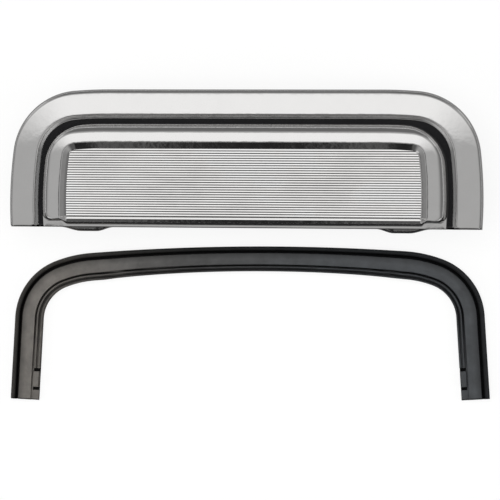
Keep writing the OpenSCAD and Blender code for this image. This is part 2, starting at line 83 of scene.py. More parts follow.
def length(name, mm, text):
    return bpy.props.FloatProperty(name=name, description=text, default=mm * MM, unit="LENGTH", precision=4)


def turn(name, degrees, text):
    return bpy.props.FloatProperty(name=name, description=text, default=math.radians(degrees),
                                   subtype="ANGLE")


def count(name, number, text):
    return bpy.props.IntProperty(name=name, description=text, default=number, min=1)


def colour(name, code, text):
    return bpy.props.FloatVectorProperty(name=name, description=text, default=linear(code), subtype="COLOR",
                                         size=3, min=0, max=1)


class LampSizes(bpy.types.PropertyGroup):
    lamp_width: length("Lamp width", 330, "Width of the outer bezel")
    leg_drop: length("Leg drop", 19, "Drop of the legs below the widest line")
    shoulder_radius: length("Shoulder radius", 284, "Radius beside the straight top")
    shoulder_turn: turn("Shoulder turn", 4.9, "Turn of each shoulder arc")
    corner_radius: length("Corner radius", 47, "Radius of the upper corners")
    leg_radius: length("Leg radius", 290, "Radius of the bowed legs")
    leg_turn: turn("Leg turn", 6.9, "Turn of each leg above the widest line")
    band_width: length("Band width", 20.5, "Width of the outer bezel's band")
    band_height: length("Band height", 7.5, "Height of the band's crest")
    shell: length("Shell", 2.2, "Wall of the castings")
    rim_radius: length("Rim radius", 3.8, "Radius of the outer bezel's rolled edge")
    face_slope: turn("Face slope", 9, "Slope of the band beside its rolled edge")
    face_turn: turn("Face turn", 4, "Turn of the crowned band")
    lip_width: length("Lip width", 2.55, "Width of the stepped lip")
    lip_drop: length("Lip drop", 1.9, "Step of the lip below the crest")
    floor_height: length("Channel floor", 4, "Front of the channel floor")
    floor_thickness: length("Floor thickness", 2.4, "Thickness of the channel floor")
    channel_width: length("Channel width", 3.4, "Width of the channel floor")
    frame_height: length("Frame height", 13, "Height of the inner bezel above the channel floor")
    frame_width: length("Frame width", 17.9, "Width of the inner bezel up to the lens opening")
    draft: turn("Draft", 8, "Draft of the inner bezel's outer wall")
    roll_radius: length("Roll radius", 8.4, "Radius of the inner bezel's rolled edge")
    slope_width: length("Slope width", 4.4, "Width of the slope that falls to the lens")
    ledge_height: length("Ledge height", 14, "Front of the ledge that holds the lens")
    ledge_thickness: length("Ledge thickness", 1.6, "Thickness of the ledge")
    rail_height: length("Rail height", 6.65, "Height of the rail under the lens")
    rail_lip: length("Rail lip", 8, "Front of the rail's lip")
    end_setback: length("End setback", 3.8, "Setback of the legs' rolled lower ends")
    corner_tuck: length("Corner tuck", 2.4, "Widening of the channel at the upper corners")
    lug_place: length("Lug place", 108.5, "Distance of each lug from the middle")
    lug_depth: length("Lug depth", 2.8, "Depth of the lugs below the bottom edge")


class LensSizes(bpy.types.PropertyGroup):
    overlap: length("Overlap", 2.6, "Overlap of the plate behind the ledge")
    thickness: length("Thickness", 2.6, "Thickness of the lens plate")
    rise: length("Rise", 1.2, "Rise of the field below the flutes")
    flutes: count("Flutes", 28, "Number of flutes")
    flute_height: length("Flute height", 0.4, "Height of each flute")
    clearance: length("Clearance", 0.3, "Gap between the lens and the bezel")


class FittingSizes(bpy.types.PropertyGroup):
    stud_radius: length("Stud radius", 2.5, "Outer radius of the stud thread")
    stud_length: length("Stud length", 27, "Length of the studs behind the seating face")
    stud_inset: length("Stud inset", 25.4, "Distance of the studs from the outline")
    stud_place: length("Stud place", 110, "Distance of each upper stud from the middle")
    thread_pitch: length("Thread pitch", 0.8, "Pitch of the stud thread")
    head_radius: length("Head radius", 2.7, "Radius of the round screw heads")
    head_height: length("Head height", 1.6, "Height of the round screw heads")
    box_screw_inset: length("Box screw inset", 32.8, "Distance of the box screws from the outline")
    cover_screw_inset: length("Cover screw inset", 46.1, "Distance of the cover screws from the outline")
    screw_inset: length("Screw inset", 16, "Distance of the outer screws from the ends of the straight top")
    flange_back: length("Flange back", -1.4, "Back of the light box flange")
    bench: length("Bench", -34, "Level that the lamp stands on")
    box_foot: length("Box foot", -11.7, "Bottom wall of the light box")


class SealSizes(bpy.types.PropertyGroup):
    band: length("Band", 19.6, "Width of the seal's section")
    spread: length("Spread", 8.94, "Spread of the legs beyond the lamp's width")
    height: length("Height", 107, "Height from the crown to the leg ends")
    shoulder_radius: length("Shoulder radius", 90, "Radius of the shoulders")
    corner_radius: length("Corner radius", 45, "Radius of the corners")
    crown_turn: turn("Crown turn", 4.1, "Turn of each half of the crown")
    shoulder_turn: turn("Shoulder turn", 17, "Turn of each shoulder")
    corner_turn: turn("Corner turn", 65.6, "Turn of each corner")
    gap: length("Gap", 12, "Gap between the lamp and the laid seal")
    shift: length("Shift", -1.5, "Sideways place of the laid seal")
    turned: turn("Turn", 0.8, "Turn of the laid seal")
    bead_radius: length("Bead radius", 1.85, "Radius of the outer bead")
    bead_height: length("Bead height", 7.6, "Height of the outer bead")
    flat_height: length("Flat height", 6.1, "Height of the flat band")
    groove_height: length("Groove height", 3.6, "Height of the groove floors")
    groove_width: length("Groove width", 1.4, "Width of the outer groove")
    ridge_radius: length("Ridge radius", 0.7, "Radius of the narrow ridge")
    lip_radius: length("Lip radius", 0.775, "Radius of the inner lip")
    trim: length("Trim", 22.6, "Length of the trimmed leg ends")
    tab_length: length("Tab length", 10.9, "Length of the tab on each trimmed end")
    tab_place: length("Tab place", 9.3, "Distance of the tab from the leg's end")


class StageSizes(bpy.types.PropertyGroup):
    aim_x: length("Aim X", 5.13, "Point that the camera looks at")
    aim_y: length("Aim Y", -34.22, "Point that the camera looks at")
    aim_z: length("Aim Z", 8, "Point that the camera looks at")
    azimuth: turn("Azimuth", 7.09, "Camera's turn toward +X")
    tilt: turn("Tilt", -1.1, "Camera's turn toward +Y")
    roll: turn("Roll", 0.62, "Camera's turn about its own axis")
    distance: length("Distance", 1819, "Distance from the camera to its aim")
    pixel: length("Pixel", 0.6892, "Width that one pixel of a 500 pixel frame covers at the aim")


class Finishes(bpy.types.PropertyGroup):
    chrome: colour("Chrome", "#f3f2f1", "Bright plate")
    # Painted shade: black laid over the chrome of the channel, standing for the dark that the channel
    # reflects and the shade in it.
    recess: colour("Recess", "#1d1d1e", "Gloss paint on the channel floor")
    lens: colour("Lens", "#fdfcfb", "Metallised lens")
    seal: colour("Seal", "#65615c", "Body seal rubber")
    seal_cool: colour("Seal cool", "#5f6367", "Body seal rubber on its darker leg")
    gasket: colour("Gasket", "#1d1d1e", "Gaskets and grommet")
    housing: colour("Housing", "#26272a", "Black moulded housing")
    steel: colour("Steel", "#c9c8c2", "Zinc-plated steel")
    board: colour("Board", "#1c5a34", "Solder mask")
    package: colour("Package", "#e8dcae", "LED package")
    component: colour("Component", "#2a2a2c", "Moulded components")
    terminal: colour("Terminal", "#2f8f58", "Terminal block")
    vent: colour("Vent", "#6d7074", "Breather plug")
    reflector: colour("Reflector", "#efefef", "Metallised tray")


def sizes(group):
    """A property group's sizes: lengths in millimetres, angles in radians, counts as they are."""
    found = {}
    for key, prop in group.bl_rna.properties.items():
        if prop.type == "FLOAT":
            found[key] = round(getattr(group, key) / MM, 5) if prop.unit == "LENGTH" else getattr(group, key)
        elif prop.type == "INT":
            found[key] = getattr(group, key)
    return SimpleNamespace(**found)


# Nodes and materials

# Noise values that the mottling and the roughness run between.
NOISE_LOW, NOISE_HIGH = 0.3, 0.7
# Specular level of a plain surface, and of rubber where its painted shade is deepest.
PLAIN_GLOSS, SHADED_GLOSS = 0.5, 0.08
# Share of the rubber's tone, kept under its painted shade, from which it has the plain specular level.
UNSHADED_SHARE = 0.5
# Places along X, in mm, between which the rubber's colour turns to the tint of its +X end.
TINT_FROM, TINT_TO = -130, 60


def add(tree, kind, inputs=None, **settings):
    """Adds a node with its settings; an input is a value or the socket that feeds it."""
    made = tree.nodes.new(kind)
    for key, value in settings.items():
        setattr(made, key, value)
    for key, value in (inputs or {}).items():
        if isinstance(value, bpy.types.NodeSocket):
            tree.links.new(value, made.inputs[key])
        else:
            made.inputs[key].default_value = value
    return made


def blank(name):
    """A new material with an empty node tree."""
    material = bpy.data.materials.new(name)
    material.use_nodes = True
    material.node_tree.nodes.clear()
    return material


def finish(name, base, metallic=0.0, roughness=(0.4, 0.5), mottle=0.0, spot=8.0, grain=0.1, bump=0.0,
           streak=(1, 1, 1), fades=(), painted_shade=None, rubber_shade=None):
    """A procedural material: mottled colour, roughness between two values and a fine bump.

    spot is the size in mm of the mottling, grain the size in mm of the bump's texture, and streak stretches
    both. Each of the fades (axis, from mm, to mm, first, last) scales the colour along an axis of the part.
    The next to last argument is a colour laid over the faces that the mesh's mark attribute picks out:
    painted shade.
    The last is the tint at the +X end of a part whose per-point attribute scales its tone and specular level:
    painted shade where it is low."""
    if name in bpy.data.materials:
        return bpy.data.materials[name]
    material = blank(name)
    tree = material.node_tree
    place = add(tree, "ShaderNodeTexCoord").outputs["Object"]
    along = add(tree, "ShaderNodeSeparateXYZ", {0: place}).outputs
    lie = add(tree, "ShaderNodeMapping", {"Vector": place, "Scale": streak}).outputs[0]
    cloud = add(tree, "ShaderNodeTexNoise", {"Vector": lie, "Scale": 1 / (spot * MM), "Detail": 4.0,
                                             "Roughness": 0.6}).outputs["Fac"]
    fine = add(tree, "ShaderNodeTexNoise", {"Vector": lie, "Scale": 1 / (grain * MM), "Detail": 2.0})
    tone, rough = [add(tree, "ShaderNodeMapRange", {
        "Value": cloud, "From Min": NOISE_LOW, "From Max": NOISE_HIGH,
        "To Min": low, "To Max": high}).outputs[0]
        for low, high in ((1 - mottle, 1 + mottle), roughness)]
    for axis, low, high, first, last in fades:
        fade = add(tree, "ShaderNodeMapRange", {
            "Value": along[axis], "From Min": low * MM, "From Max": high * MM,
            "To Min": first, "To Max": last}, interpolation_type="SMOOTHSTEP").outputs[0]
        tone = add(tree, "ShaderNodeMath", {0: tone, 1: fade}, operation="MULTIPLY").outputs[0]
    body, gloss, shine = (*base, 1), PLAIN_GLOSS, metallic
    # Painted shade: a per-point share from the mesh scales the tone and the specular level, darkest in the
    # grooves.
    if rubber_shade:
        lit_share = add(tree, "ShaderNodeAttribute", attribute_name="rubber_shade").outputs["Fac"]
        tone = add(tree, "ShaderNodeMath", {0: tone, 1: lit_share}, operation="MULTIPLY").outputs[0]
        gloss = add(tree, "ShaderNodeMapRange", {"Value": lit_share, "From Max": UNSHADED_SHARE, "To Min": SHADED_GLOSS,
                                                 "To Max": PLAIN_GLOSS}).outputs[0]
        # Toward +X the colour turns to the given tint.
        far = add(tree, "ShaderNodeMapRange", {"Value": along[0], "From Min": TINT_FROM * MM,
                                               "From Max": TINT_TO * MM}).outputs[0]
        body = add(tree, "ShaderNodeMix", {0: far, 6: body, 7: (*rubber_shade, 1)}, data_type="RGBA").outputs[2]
    tint = add(tree, "ShaderNodeMix", {0: 1.0, 6: body, 7: tone}, data_type="RGBA",
               blend_type="MULTIPLY").outputs[2]
    # Painted shade: faces that the mesh marks take the given black and lose their metal.
    if painted_shade:
        mark = add(tree, "ShaderNodeAttribute", attribute_name="recess").outputs["Fac"]
        tint = add(tree, "ShaderNodeMix", {0: mark, 6: tint, 7: (*painted_shade, 1)}, data_type="RGBA").outputs[2]
        shine = add(tree, "ShaderNodeMath", {0: metallic, 1: mark}, operation="SUBTRACT").outputs[0]
    relief = add(tree, "ShaderNodeBump", {"Height": fine.outputs["Fac"], "Strength": bump,
                                          "Distance": grain * MM}).outputs[0]
    surface = add(tree, "ShaderNodeBsdfPrincipled", {
        "Base Color": tint, "Metallic": shine, "Roughness": rough, "Normal": relief,
        "Specular IOR Level": gloss})
    add(tree, "ShaderNodeOutputMaterial", {"Surface": surface.outputs[0]})
    return material


def bright_chrome():
    # Decorative chrome plate on a casting: a clear mirror with a trace of casting wave and polishing haze,
    # with black laid over the channel floor and walls as painted shade.
    c = bpy.context.scene.finishes
    return finish("bright_chrome_plate", c.chrome, metallic=1.0, roughness=(0.05, 0.11), mottle=0.015,
                  spot=14, grain=5, bump=0.012, painted_shade=c.recess)


def metallised_lens():
    # Vacuum-metallised moulding: bright along the flutes, with soft clouds in the coat.
    return finish("metallised_moulding", bpy.context.scene.finishes.lens, metallic=1.0, roughness=(0.04, 0.1),
                  mottle=0.1, spot=20, grain=3, bump=0.01, streak=(0.4, 1, 1))


def seal_rubber():
    # Extruded EPDM with painted shade: near black and less glossy in the grooves, at the notches and at the
    # leg ends, its own tone on the raised bands; lighter and warmer toward the -X leg, darker and cooler
    # toward +X.
    c = bpy.context.scene.finishes
    return finish("extruded_rubber", c.seal, roughness=(0.38, 0.55), mottle=0.22, spot=8, grain=0.45,
                  bump=0.1, fades=((0, -150, -30, 1.0, 0.4), (0, 30, 150, 1.0, 0.9)), rubber_shade=c.seal_cool)


def gasket_rubber():
    # Moulded rubber: near black and dull.
    return finish("moulded_rubber", bpy.context.scene.finishes.gasket, roughness=(0.55, 0.7), mottle=0.1,
                  spot=4, grain=0.3, bump=0.12)


def housing_plastic():
    # Moulded ABS with a spark-eroded grain: black, breaking highlights into a soft sheen.
    return finish("moulded_plastic", bpy.context.scene.finishes.housing, roughness=(0.42, 0.55), mottle=0.08,
                  spot=6, grain=0.5, bump=0.16)


def plated_steel():
    # Bright zinc plate on cold-formed steel: pale, slightly cloudy metal.
    return finish("zinc_plated_steel", bpy.context.scene.finishes.steel, metallic=1.0, roughness=(0.22, 0.36),
                  mottle=0.08, spot=1.5, grain=0.25, bump=0.05)


def finishes_by_slot():
    """Finish of each material slot of the record."""
    c = bpy.context.scene.finishes
    return {
        # Glass-fibre laminate under solder mask: glossy green with a faint weave.
        "board_laminate": finish("solder_masked_laminate", c.board, roughness=(0.22, 0.32), mottle=0.12,
                                 spot=1.2, grain=0.4, bump=0.05),
        # Moulded LED package: cream, lightly glossy.
        "led_package": finish("moulded_led_package", c.package, roughness=(0.2, 0.3), mottle=0.05, spot=1,
                              grain=0.2, bump=0.02),
        # Epoxy-moulded component: matt charcoal.
        "component_black": finish("moulded_epoxy", c.component, roughness=(0.5, 0.62), mottle=0.1, spot=0.8,
                                  grain=0.15, bump=0.1),
        # Nylon terminal: bright green with a soft shine.
        "terminal_plastic": finish("moulded_nylon", c.terminal, roughness=(0.3, 0.42), mottle=0.06, spot=2,
                                   grain=0.3, bump=0.05),
        # Polypropylene plug: mid grey, waxy.
        "vent_plastic": finish("moulded_polypropylene", c.vent, roughness=(0.38, 0.5), mottle=0.06, spot=2,
                               grain=0.3, bump=0.06),
        # Metallised tray: bright, with a faint orange peel.
        "bright_reflector": finish("metallised_tray", c.reflector, metallic=1.0, roughness=(0.1, 0.18),
                                   mottle=0.03, spot=6, grain=2, bump=0.03),
        "gasket_rubber": gasket_rubber(),
        "black_plastic": housing_plastic(),
        "plated_steel": plated_steel(),
        "bright_chrome": bright_chrome(),
        "metallised_lens": metallised_lens(),
        "seal_rubber": seal_rubber(),
    }


# Shapes

def arc(centre, radius, start, end, steps):
    """Points on an arc; angles in degrees."""
    angles = np.radians(np.linspace(start, end, steps + 1))
    return [(centre[0] + radius * math.cos(a), centre[1] + radius * math.sin(a)) for a in angles]


class ArchPath:
    """Arch outline at any inset: a straight top, then shoulder, corner and leg arcs that meet in line."""

    def __init__(self, s):
        self.s = s
        self.leg_x = s.lamp_width / 2 - s.leg_radius
        reach, rise = s.leg_radius - s.corner_radius, s.shoulder_radius - s.corner_radius
        self.corner = (self.leg_x + reach * math.cos(s.leg_turn), reach * math.sin(s.leg_turn))
        self.shoulder = (self.corner[0] - rise * math.sin(s.shoulder_turn),
                         self.corner[1] - rise * math.cos(s.shoulder_turn))
        self.top_half, self.top_y = self.shoulder[0], self.shoulder[1] + s.shoulder_radius
        self.base_y = -s.leg_drop

    def leg(self, y, inset):
        return self.leg_x + math.sqrt((self.s.leg_radius - inset) ** 2 - y * y)

    def inset(self, x, y):
        """Inset of a point beside a leg."""
        return self.s.leg_radius - math.hypot(abs(x) - self.leg_x, y)

    def on_shoulder(self, x, inset):
        radius = self.s.shoulder_radius - inset
        return (x, self.shoulder[1] + math.sqrt(radius ** 2 - (abs(x) - self.top_half) ** 2))

    def half(self, inset, foot, steps=(10, 4, 30, 18)):
        """Points from the crown's middle to the foot of the right leg."""
        s, top, shoulder, corner, leg = self.s, *steps
        lean, leg_lean = math.degrees(s.shoulder_turn), math.degrees(s.leg_turn)
        tightest = 0.4
        points = [(self.top_half * i / top, self.top_y - inset) for i in range(top)]
        points += arc(self.shoulder, s.shoulder_radius - inset, 90, 90 - lean, shoulder)[:-1]
        points += arc(self.corner, max(s.corner_radius - inset, tightest), 90 - lean, leg_lean, corner)[:-1]
        end = math.degrees(math.asin(foot / (s.leg_radius - inset)))
        return points + arc((self.leg_x, 0), s.leg_radius - inset, leg_lean, end, leg)

    def outline(self, inset, foot, steps=(1, 2, 14, 8)):
        right = self.half(inset, foot, steps)
        return [(-x, y) for x, y in right[::-1]] + right[1:]


def mesh_of(name, points, faces, edges=()):
    """A mesh from points in millimetres."""
    mesh = bpy.data.meshes.new(name)
    mesh.from_pydata([tuple(c * MM for c in p) for p in points], edges, faces)
    return mesh


def welded(mesh, gap=0.002, touching=0.0001):
    """Merges doubles, closes open edges that another vertex splits, and turns the faces outward."""
    shape = bmesh.new()
    shape.from_mesh(mesh)
    bmesh.ops.remove_doubles(shape, verts=shape.verts, dist=gap * MM)
    bmesh.ops.dissolve_degenerate(shape, edges=shape.edges, dist=gap * MM / 2)
    open_edges = [e for e in shape.edges if e.is_boundary]
    open_ends = {v for e in open_edges for v in e.verts}
    for edge in open_edges:
        a, b = edge.verts
        run = b.co - a.co
        for v in open_ends - {a, b}:
            t = (v.co - a.co).dot(run) / run.length_squared
            if 0 < t < 1 and (a.co + run * t - v.co).length < gap * MM:
                bmesh.utils.edge_split(edge, a, t)[1].co = v.co
                break
    bmesh.ops.remove_doubles(shape, verts=shape.verts, dist=touching * MM)
    bmesh.ops.recalc_face_normals(shape, faces=shape.faces)
    shape.to_mesh(mesh)
    shape.free()
    return mesh


def joined(name, *meshes):
    """One mesh from several."""
    shape = bmesh.new()
    for mesh in meshes:
        shape.from_mesh(mesh)
    whole = bpy.data.meshes.new(name)
    shape.to_mesh(whole)
    shape.free()
    return whole


def prism(name, outline, low, high):
    """A closed block over an outline, from one level to another."""
    n = len(outline)
    points = [(x, y, low) for x, y in outline] + [(x, y, high) for x, y in outline]
    sides = [(i, (i + 1) % n, n + (i + 1) % n, n + i) for i in range(n)]
    return welded(mesh_of(name, points, sides + [tuple(range(n)), tuple(range(n, 2 * n))]))


def loft(name, rings, closed=True):
    """Skins rings of equal count, each a closed loop; an open row of rings gets a cap at both ends."""
    total, n = len(rings), len(rings[0])
    points = [p for ring in rings for p in ring]
    faces = []
    for k in range(total if closed else total - 1):
        a, b = k * n, ((k + 1) % total) * n
        faces += [(a + i, a + (i + 1) % n, b + (i + 1) % n, b + i) for i in range(n)]
    if not closed:
        faces += [tuple(range(n)), tuple(range((total - 1) * n, total * n))]
    return welded(mesh_of(name, points, faces))


def dressed(mesh, name, body, nodes, material, sharp=32.0):
    """Makes a finished piece of a mesh and ties it to the frame."""
    mesh.materials.clear()
    mesh.materials.append(material)
    mesh.polygons.foreach_set("use_smooth", [True] * len(mesh.polygons))
    mesh.polygons.foreach_set("material_index", [0] * len(mesh.polygons))
    mesh.set_sharp_from_angle(angle=math.radians(sharp))
    piece = bpy.data.objects.new(name, mesh)
    bpy.context.scene.collection.objects.link(piece)
    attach(piece, body)
    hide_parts(*nodes)
    return piece


# Geometry node trees

def new_tree(name, *inputs):
    """A geometry node tree with a mesh in and out and more inputs (name, kind), and its input sockets."""
    tree = bpy.data.node_groups.new(name, "GeometryNodeTree")
    for label, kind in (("Geometry", "Geometry"), *inputs):
        tree.interface.new_socket(label, in_out="INPUT", socket_type="NodeSocket" + kind)
    tree.interface.new_socket("Geometry", in_out="OUTPUT", socket_type="NodeSocketGeometry")
    return tree, add(tree, "NodeGroupInput").outputs


def close_tree(tree, made, material):
    """Makes a tree's result real, gives it its material and sends it out."""
    real = add(tree, "GeometryNodeRealizeInstances", {"Geometry": made.outputs[0]})
    done = add(tree, "GeometryNodeSetMaterial", {"Geometry": real.outputs[0], "Material": material})
    add(tree, "NodeGroupOutput", {"Geometry": done.outputs[0]})
    return tree


def sweep_tree():
    """Carries a section along a path, scaled by the path's girth: inputs Section, Fill Ends and Material."""
    if "section_along_path" in bpy.data.node_groups:
        return bpy.data.node_groups["section_along_path"]
    tree, given = new_tree("section_along_path", ("Section", "Object"), ("Fill Ends", "Bool"),
                           ("Material", "Material"))
    path = add(tree, "GeometryNodeMeshToCurve", {"Mesh": given["Geometry"]})
    level = add(tree, "GeometryNodeSetCurveNormal", {"Curve": path.outputs[0]}, mode="Z_UP")
    shape = add(tree, "GeometryNodeObjectInfo", {"Object": given["Section"]})
    section = add(tree, "GeometryNodeMeshToCurve", {"Mesh": shape.outputs["Geometry"]})
    girth = add(tree, "GeometryNodeInputNamedAttribute", {"Name": "girth"}, data_type="FLOAT")
    skin = add(tree, "GeometryNodeCurveToMesh", {
        "Curve": level.outputs[0], "Profile Curve": section.outputs[0], "Scale": girth.outputs["Attribute"],
        "Fill Caps": given["Fill Ends"]})
    return close_tree(tree, skin, given["Material"])


def pattern_tree():
    """Puts a part on every point, stretched along X by the point's reach: inputs Part and Material."""
    if "part_on_points" in bpy.data.node_groups:
        return bpy.data.node_groups["part_on_points"]
    tree, given = new_tree("part_on_points", ("Part", "Object"), ("Material", "Material"))
    part = add(tree, "GeometryNodeObjectInfo", {"Object": given["Part"]})
    reach = add(tree, "GeometryNodeInputNamedAttribute", {"Name": "reach"}, data_type="FLOAT")
    stretch = add(tree, "ShaderNodeCombineXYZ", {"X": reach.outputs["Attribute"], "Y": 1.0, "Z": 1.0})
    copies = add(tree, "GeometryNodeInstanceOnPoints", {
        "Points": given["Geometry"], "Instance": part.outputs["Geometry"], "Scale": stretch.outputs[0]})
    return close_tree(tree, copies, given["Material"])


def run_tree(tree, mesh, helper, **values):
    """Runs a tree on a mesh with a helper mesh as its object input; gives the plain mesh it makes."""
    carrier = bpy.data.objects.new("tree_carrier", mesh)
    second = bpy.data.objects.new("tree_helper", helper)
    for thing in (carrier, second):
        bpy.context.scene.collection.objects.link(thing)
    modifier = carrier.modifiers.new("tree", "NODES")
    modifier.node_group = tree
    for item in tree.interface.items_tree:
        if item.in_out == "INPUT" and item.socket_type == "NodeSocketObject":
            modifier[item.identifier] = second
        elif item.in_out == "INPUT" and item.name in values:
            modifier[item.identifier] = values[item.name]
    carrier.update_tag()
    result = bpy.data.meshes.new_from_object(carrier.evaluated_get(bpy.context.evaluated_depsgraph_get()))
    carrier.modifiers.remove(modifier)
    for thing in (carrier, second):
        bpy.data.objects.remove(thing)
    return result


def swept(path, section, closed, material, fill=False, girth=None):
    """Mesh of a section of (inset, height) points carried along a level path of (x, y, z) points."""
    line = mesh_of("path", path, [], [(i, i + 1) for i in range(len(path) - 1)])
    line.attributes.new("girth", "FLOAT", "POINT").data.foreach_set("value", girth or [1.0] * len(path))
    last = len(section)
    shape = mesh_of("section", [(u, -z, 0) for u, z in section], [],
                    [(i, (i + 1) % last) for i in range(last if closed else last - 1)])
    return run_tree(sweep_tree(), line, shape, **{"Fill Ends": fill, "Material": material})


def repeated(part, points, material, reach=None):
    """Mesh of a part put on points."""
    spots = mesh_of("spots", points, [])
    spots.attributes.new("reach", "FLOAT", "POINT").data.foreach_set("value", reach or [1.0] * len(points))
    return run_tree(pattern_tree(), spots, part, Material=material)


# Pieces

def eased(t):
    """A smooth step from 0 to 1."""
    t = min(max(t, 0.0), 1.0)
    return t * t * (3 - 2 * t)


def chain_normals(chain):
    """Outward normals of a chain of section points that runs over the front from the rim to the floor."""
    points = np.array(chain, float)
    along = np.gradient(points, axis=0)
    normal, least = np.stack([-along[:, 1], along[:, 0]], axis=1), 1e-9
    return normal / np.maximum(np.linalg.norm(normal, axis=1, keepdims=True), least)


class OuterBezel(bpy.types.Operator):
    """Low arch bezel: rolled rim, crowned face, stepped lip and channel floor, hollow behind"""
    bl_idname = "brake_light.outer_bezel"
    bl_label = "Outer bezel"

    def execute(self, context):
        s = sizes(context.scene.lamp_sizes)
        path = ArchPath(s)
        material = bright_chrome()
        front, hollow = self.section(s)
        below, foot_round, weld_gap = 6, 1.5, 0.04
        line = [(x, y, 0) for x, y in path.outline(0, path.base_y - below, (2, 6, 60, 22))]
        round_y, wall_y = path.base_y + foot_round, path.base_y + s.shell
        parts = [self.cut_off(swept(line, front, False, material), round_y, wall_y),
                 self.cut_off(swept(line, hollow, False, material), wall_y)]
        parts += [self.leg_end(path, front, hollow, side, foot_round) for side in (-1, 1)]
        piece = welded(joined("outer_bezel", *parts), weld_gap)
        self.bend_feet(path, piece)
        self.paint_channel_shade(path, piece)
        dressed(piece, "outer_bezel_cast", "lamp", ["outer_bezel"], material)
        return {"FINISHED"}

    def section(self, s):
        """The section's front, from the rim over the face to the channel floor, and its hollow back."""
        first, last = s.face_slope, s.face_slope - s.face_turn
        slope, ease = 90 + math.degrees(first), 90 + math.degrees(last)
        nose, nose_lap, nose_end = 1.1, 0.4, 8
        crest_u = s.band_width - s.lip_width - nose + nose_lap
        rim_u = s.rim_radius * (1 - math.sin(first))
        face = (crest_u - rim_u) / (math.sin(first) - math.sin(last))
        rim_z = s.band_height - face * (math.cos(last) - math.cos(first)) - s.rim_radius * math.cos(first)
        rim_c = (s.rim_radius, rim_z)
        face_c = (rim_u + face * math.sin(first), rim_z + (s.rim_radius - face) * math.cos(first))
        nose_c = (crest_u + nose * math.sin(last), s.band_height - nose * math.cos(last))
        band, lip_z, floor_z = s.band_width, s.band_height - s.lip_drop, s.floor_height
        front = [(0, 0)] + arc(rim_c, s.rim_radius, 180, slope, 16)
        front += arc(face_c, face, slope, ease, 8)[1:]
        front += arc(nose_c, nose, ease, nose_end, 8)[1:]
        # The lip leaves the nose in a tight hollow, runs flat and rolls into the channel.
        lip_hollow, lip_roll, lip_flat = ((0.03, 0.32), (0.09, 0.23), (0.2, 0.205)), 0.7, (0.9, 0.07)
        front += [(nose_c[0] + nose + u, lip_z + z) for u, z in lip_hollow]
        front += [(band - lip_flat[0], lip_z + lip_flat[1])]
        front += arc((band - lip_roll, lip_z - lip_roll), lip_roll, 75, 0, 5)
        floor_fillet = ((0, 0.3), (0.1, 0.1), (0.3, 0), (0.36, 0))
        front += [(band + u, floor_z + z) for u, z in floor_fillet]
        under_frame = 5.4
        floor_end = band + s.channel_width + s.frame_width - under_frame
        floor_back = floor_z - s.floor_thickness
        front += [(floor_end, floor_z), (floor_end, floor_back), (band, floor_back), (band, 0)]
        back_u, lip_wall = band - s.shell, 0.6
        hollow = [(band, 0), (back_u, 0), (back_u, lip_z - s.shell - lip_wall)]
        hollow += arc(face_c, face - s.shell, ease, slope, 6)
        hollow += arc(rim_c, s.rim_radius - s.shell, slope, 180, 6)[1:] + [(s.shell, 0), (0, 0)]
        return front, hollow

    def cut_off(self, mesh, cut_y, ring_y=None):
        """A strip without what lies below one level, and with a ring of points at another."""
        strip = bmesh.new()
        strip.from_mesh(mesh)
        for y, clear in ((ring_y, False), (cut_y, True)):
            if y is not None:
                bmesh.ops.bisect_plane(strip, geom=strip.verts[:] + strip.edges[:] + strip.faces[:],
                                       plane_co=(0, y * MM, 0), plane_no=(0, 1, 0), clear_inner=clear)
        part = bpy.data.meshes.new("strip")
        strip.to_mesh(part)
        strip.free()
        return part

    def leg_end(self, path, front, hollow, side, foot_round):
        """Lower end of a leg: the front rolled over to a flat foot, the back rim and the hollow's wall."""
        s, n, steps, lowest = path.s, len(front), 6, 0.02
        normals = chain_normals(front)
        points = []
        for a in np.linspace(0, math.pi / 2, steps):
            y, pull = path.base_y + foot_round * (1 - math.sin(a)), foot_round * (1 - math.cos(a))
            for i, ((u, z), (out, up)) in enumerate(zip(front, normals)):
                if 0 < i < n - 1:
                    u, z = u - out * pull, max(z - up * pull, lowest)
                points.append((side * path.leg(y, u), y, z))
        faces = [(k * n + i, k * n + i + 1, (k + 1) * n + i + 1, (k + 1) * n + i)
                 for k in range(steps - 1) for i in range(n - 1)]
        faces.append(tuple(range((steps - 1) * n, steps * n)))
        y, rim = path.base_y + s.shell, len(points)
        points += [(side * path.leg(y, u), y, 0) for u in (0, s.shell, s.band_width - s.shell, s.band_width)]
        faces.append((*range(0, steps * n, n), *range(steps * n - 1, 0, -n), *range(rim + 3, rim - 1, -1)))
        wall = len(points)
        points += [(side * path.leg(y, u), y, z) for u, z in hollow[1:-1]]
        faces.append(tuple(range(wall, len(points))))
        return mesh_of("leg_end", points, faces)

    def bend_feet(self, path, piece):
        """Turns the band's inner edge outward at the foot of each leg."""
        bend, strength, bend_from, ease_over = 4.5, 0.75, 10, 7
        leg_from, front_from, bend_to = 100, 0.05, path.s.band_width + 0.5
        for v in piece.vertices:
            x, y, z = (c / MM for c in v.co)
            u, drop = path.inset(x, y), path.base_y + bend - y
            if drop > 0 and abs(x) > leg_from and z > front_from and bend_from < u < bend_to:
                pull = (bend - math.sqrt(max(bend * bend - drop * drop, 0))) * strength
                share = min(max((u - bend_from) / ease_over, 0), 1)
                v.co.x = math.copysign(path.leg(y, u - pull * share * share), x) * MM

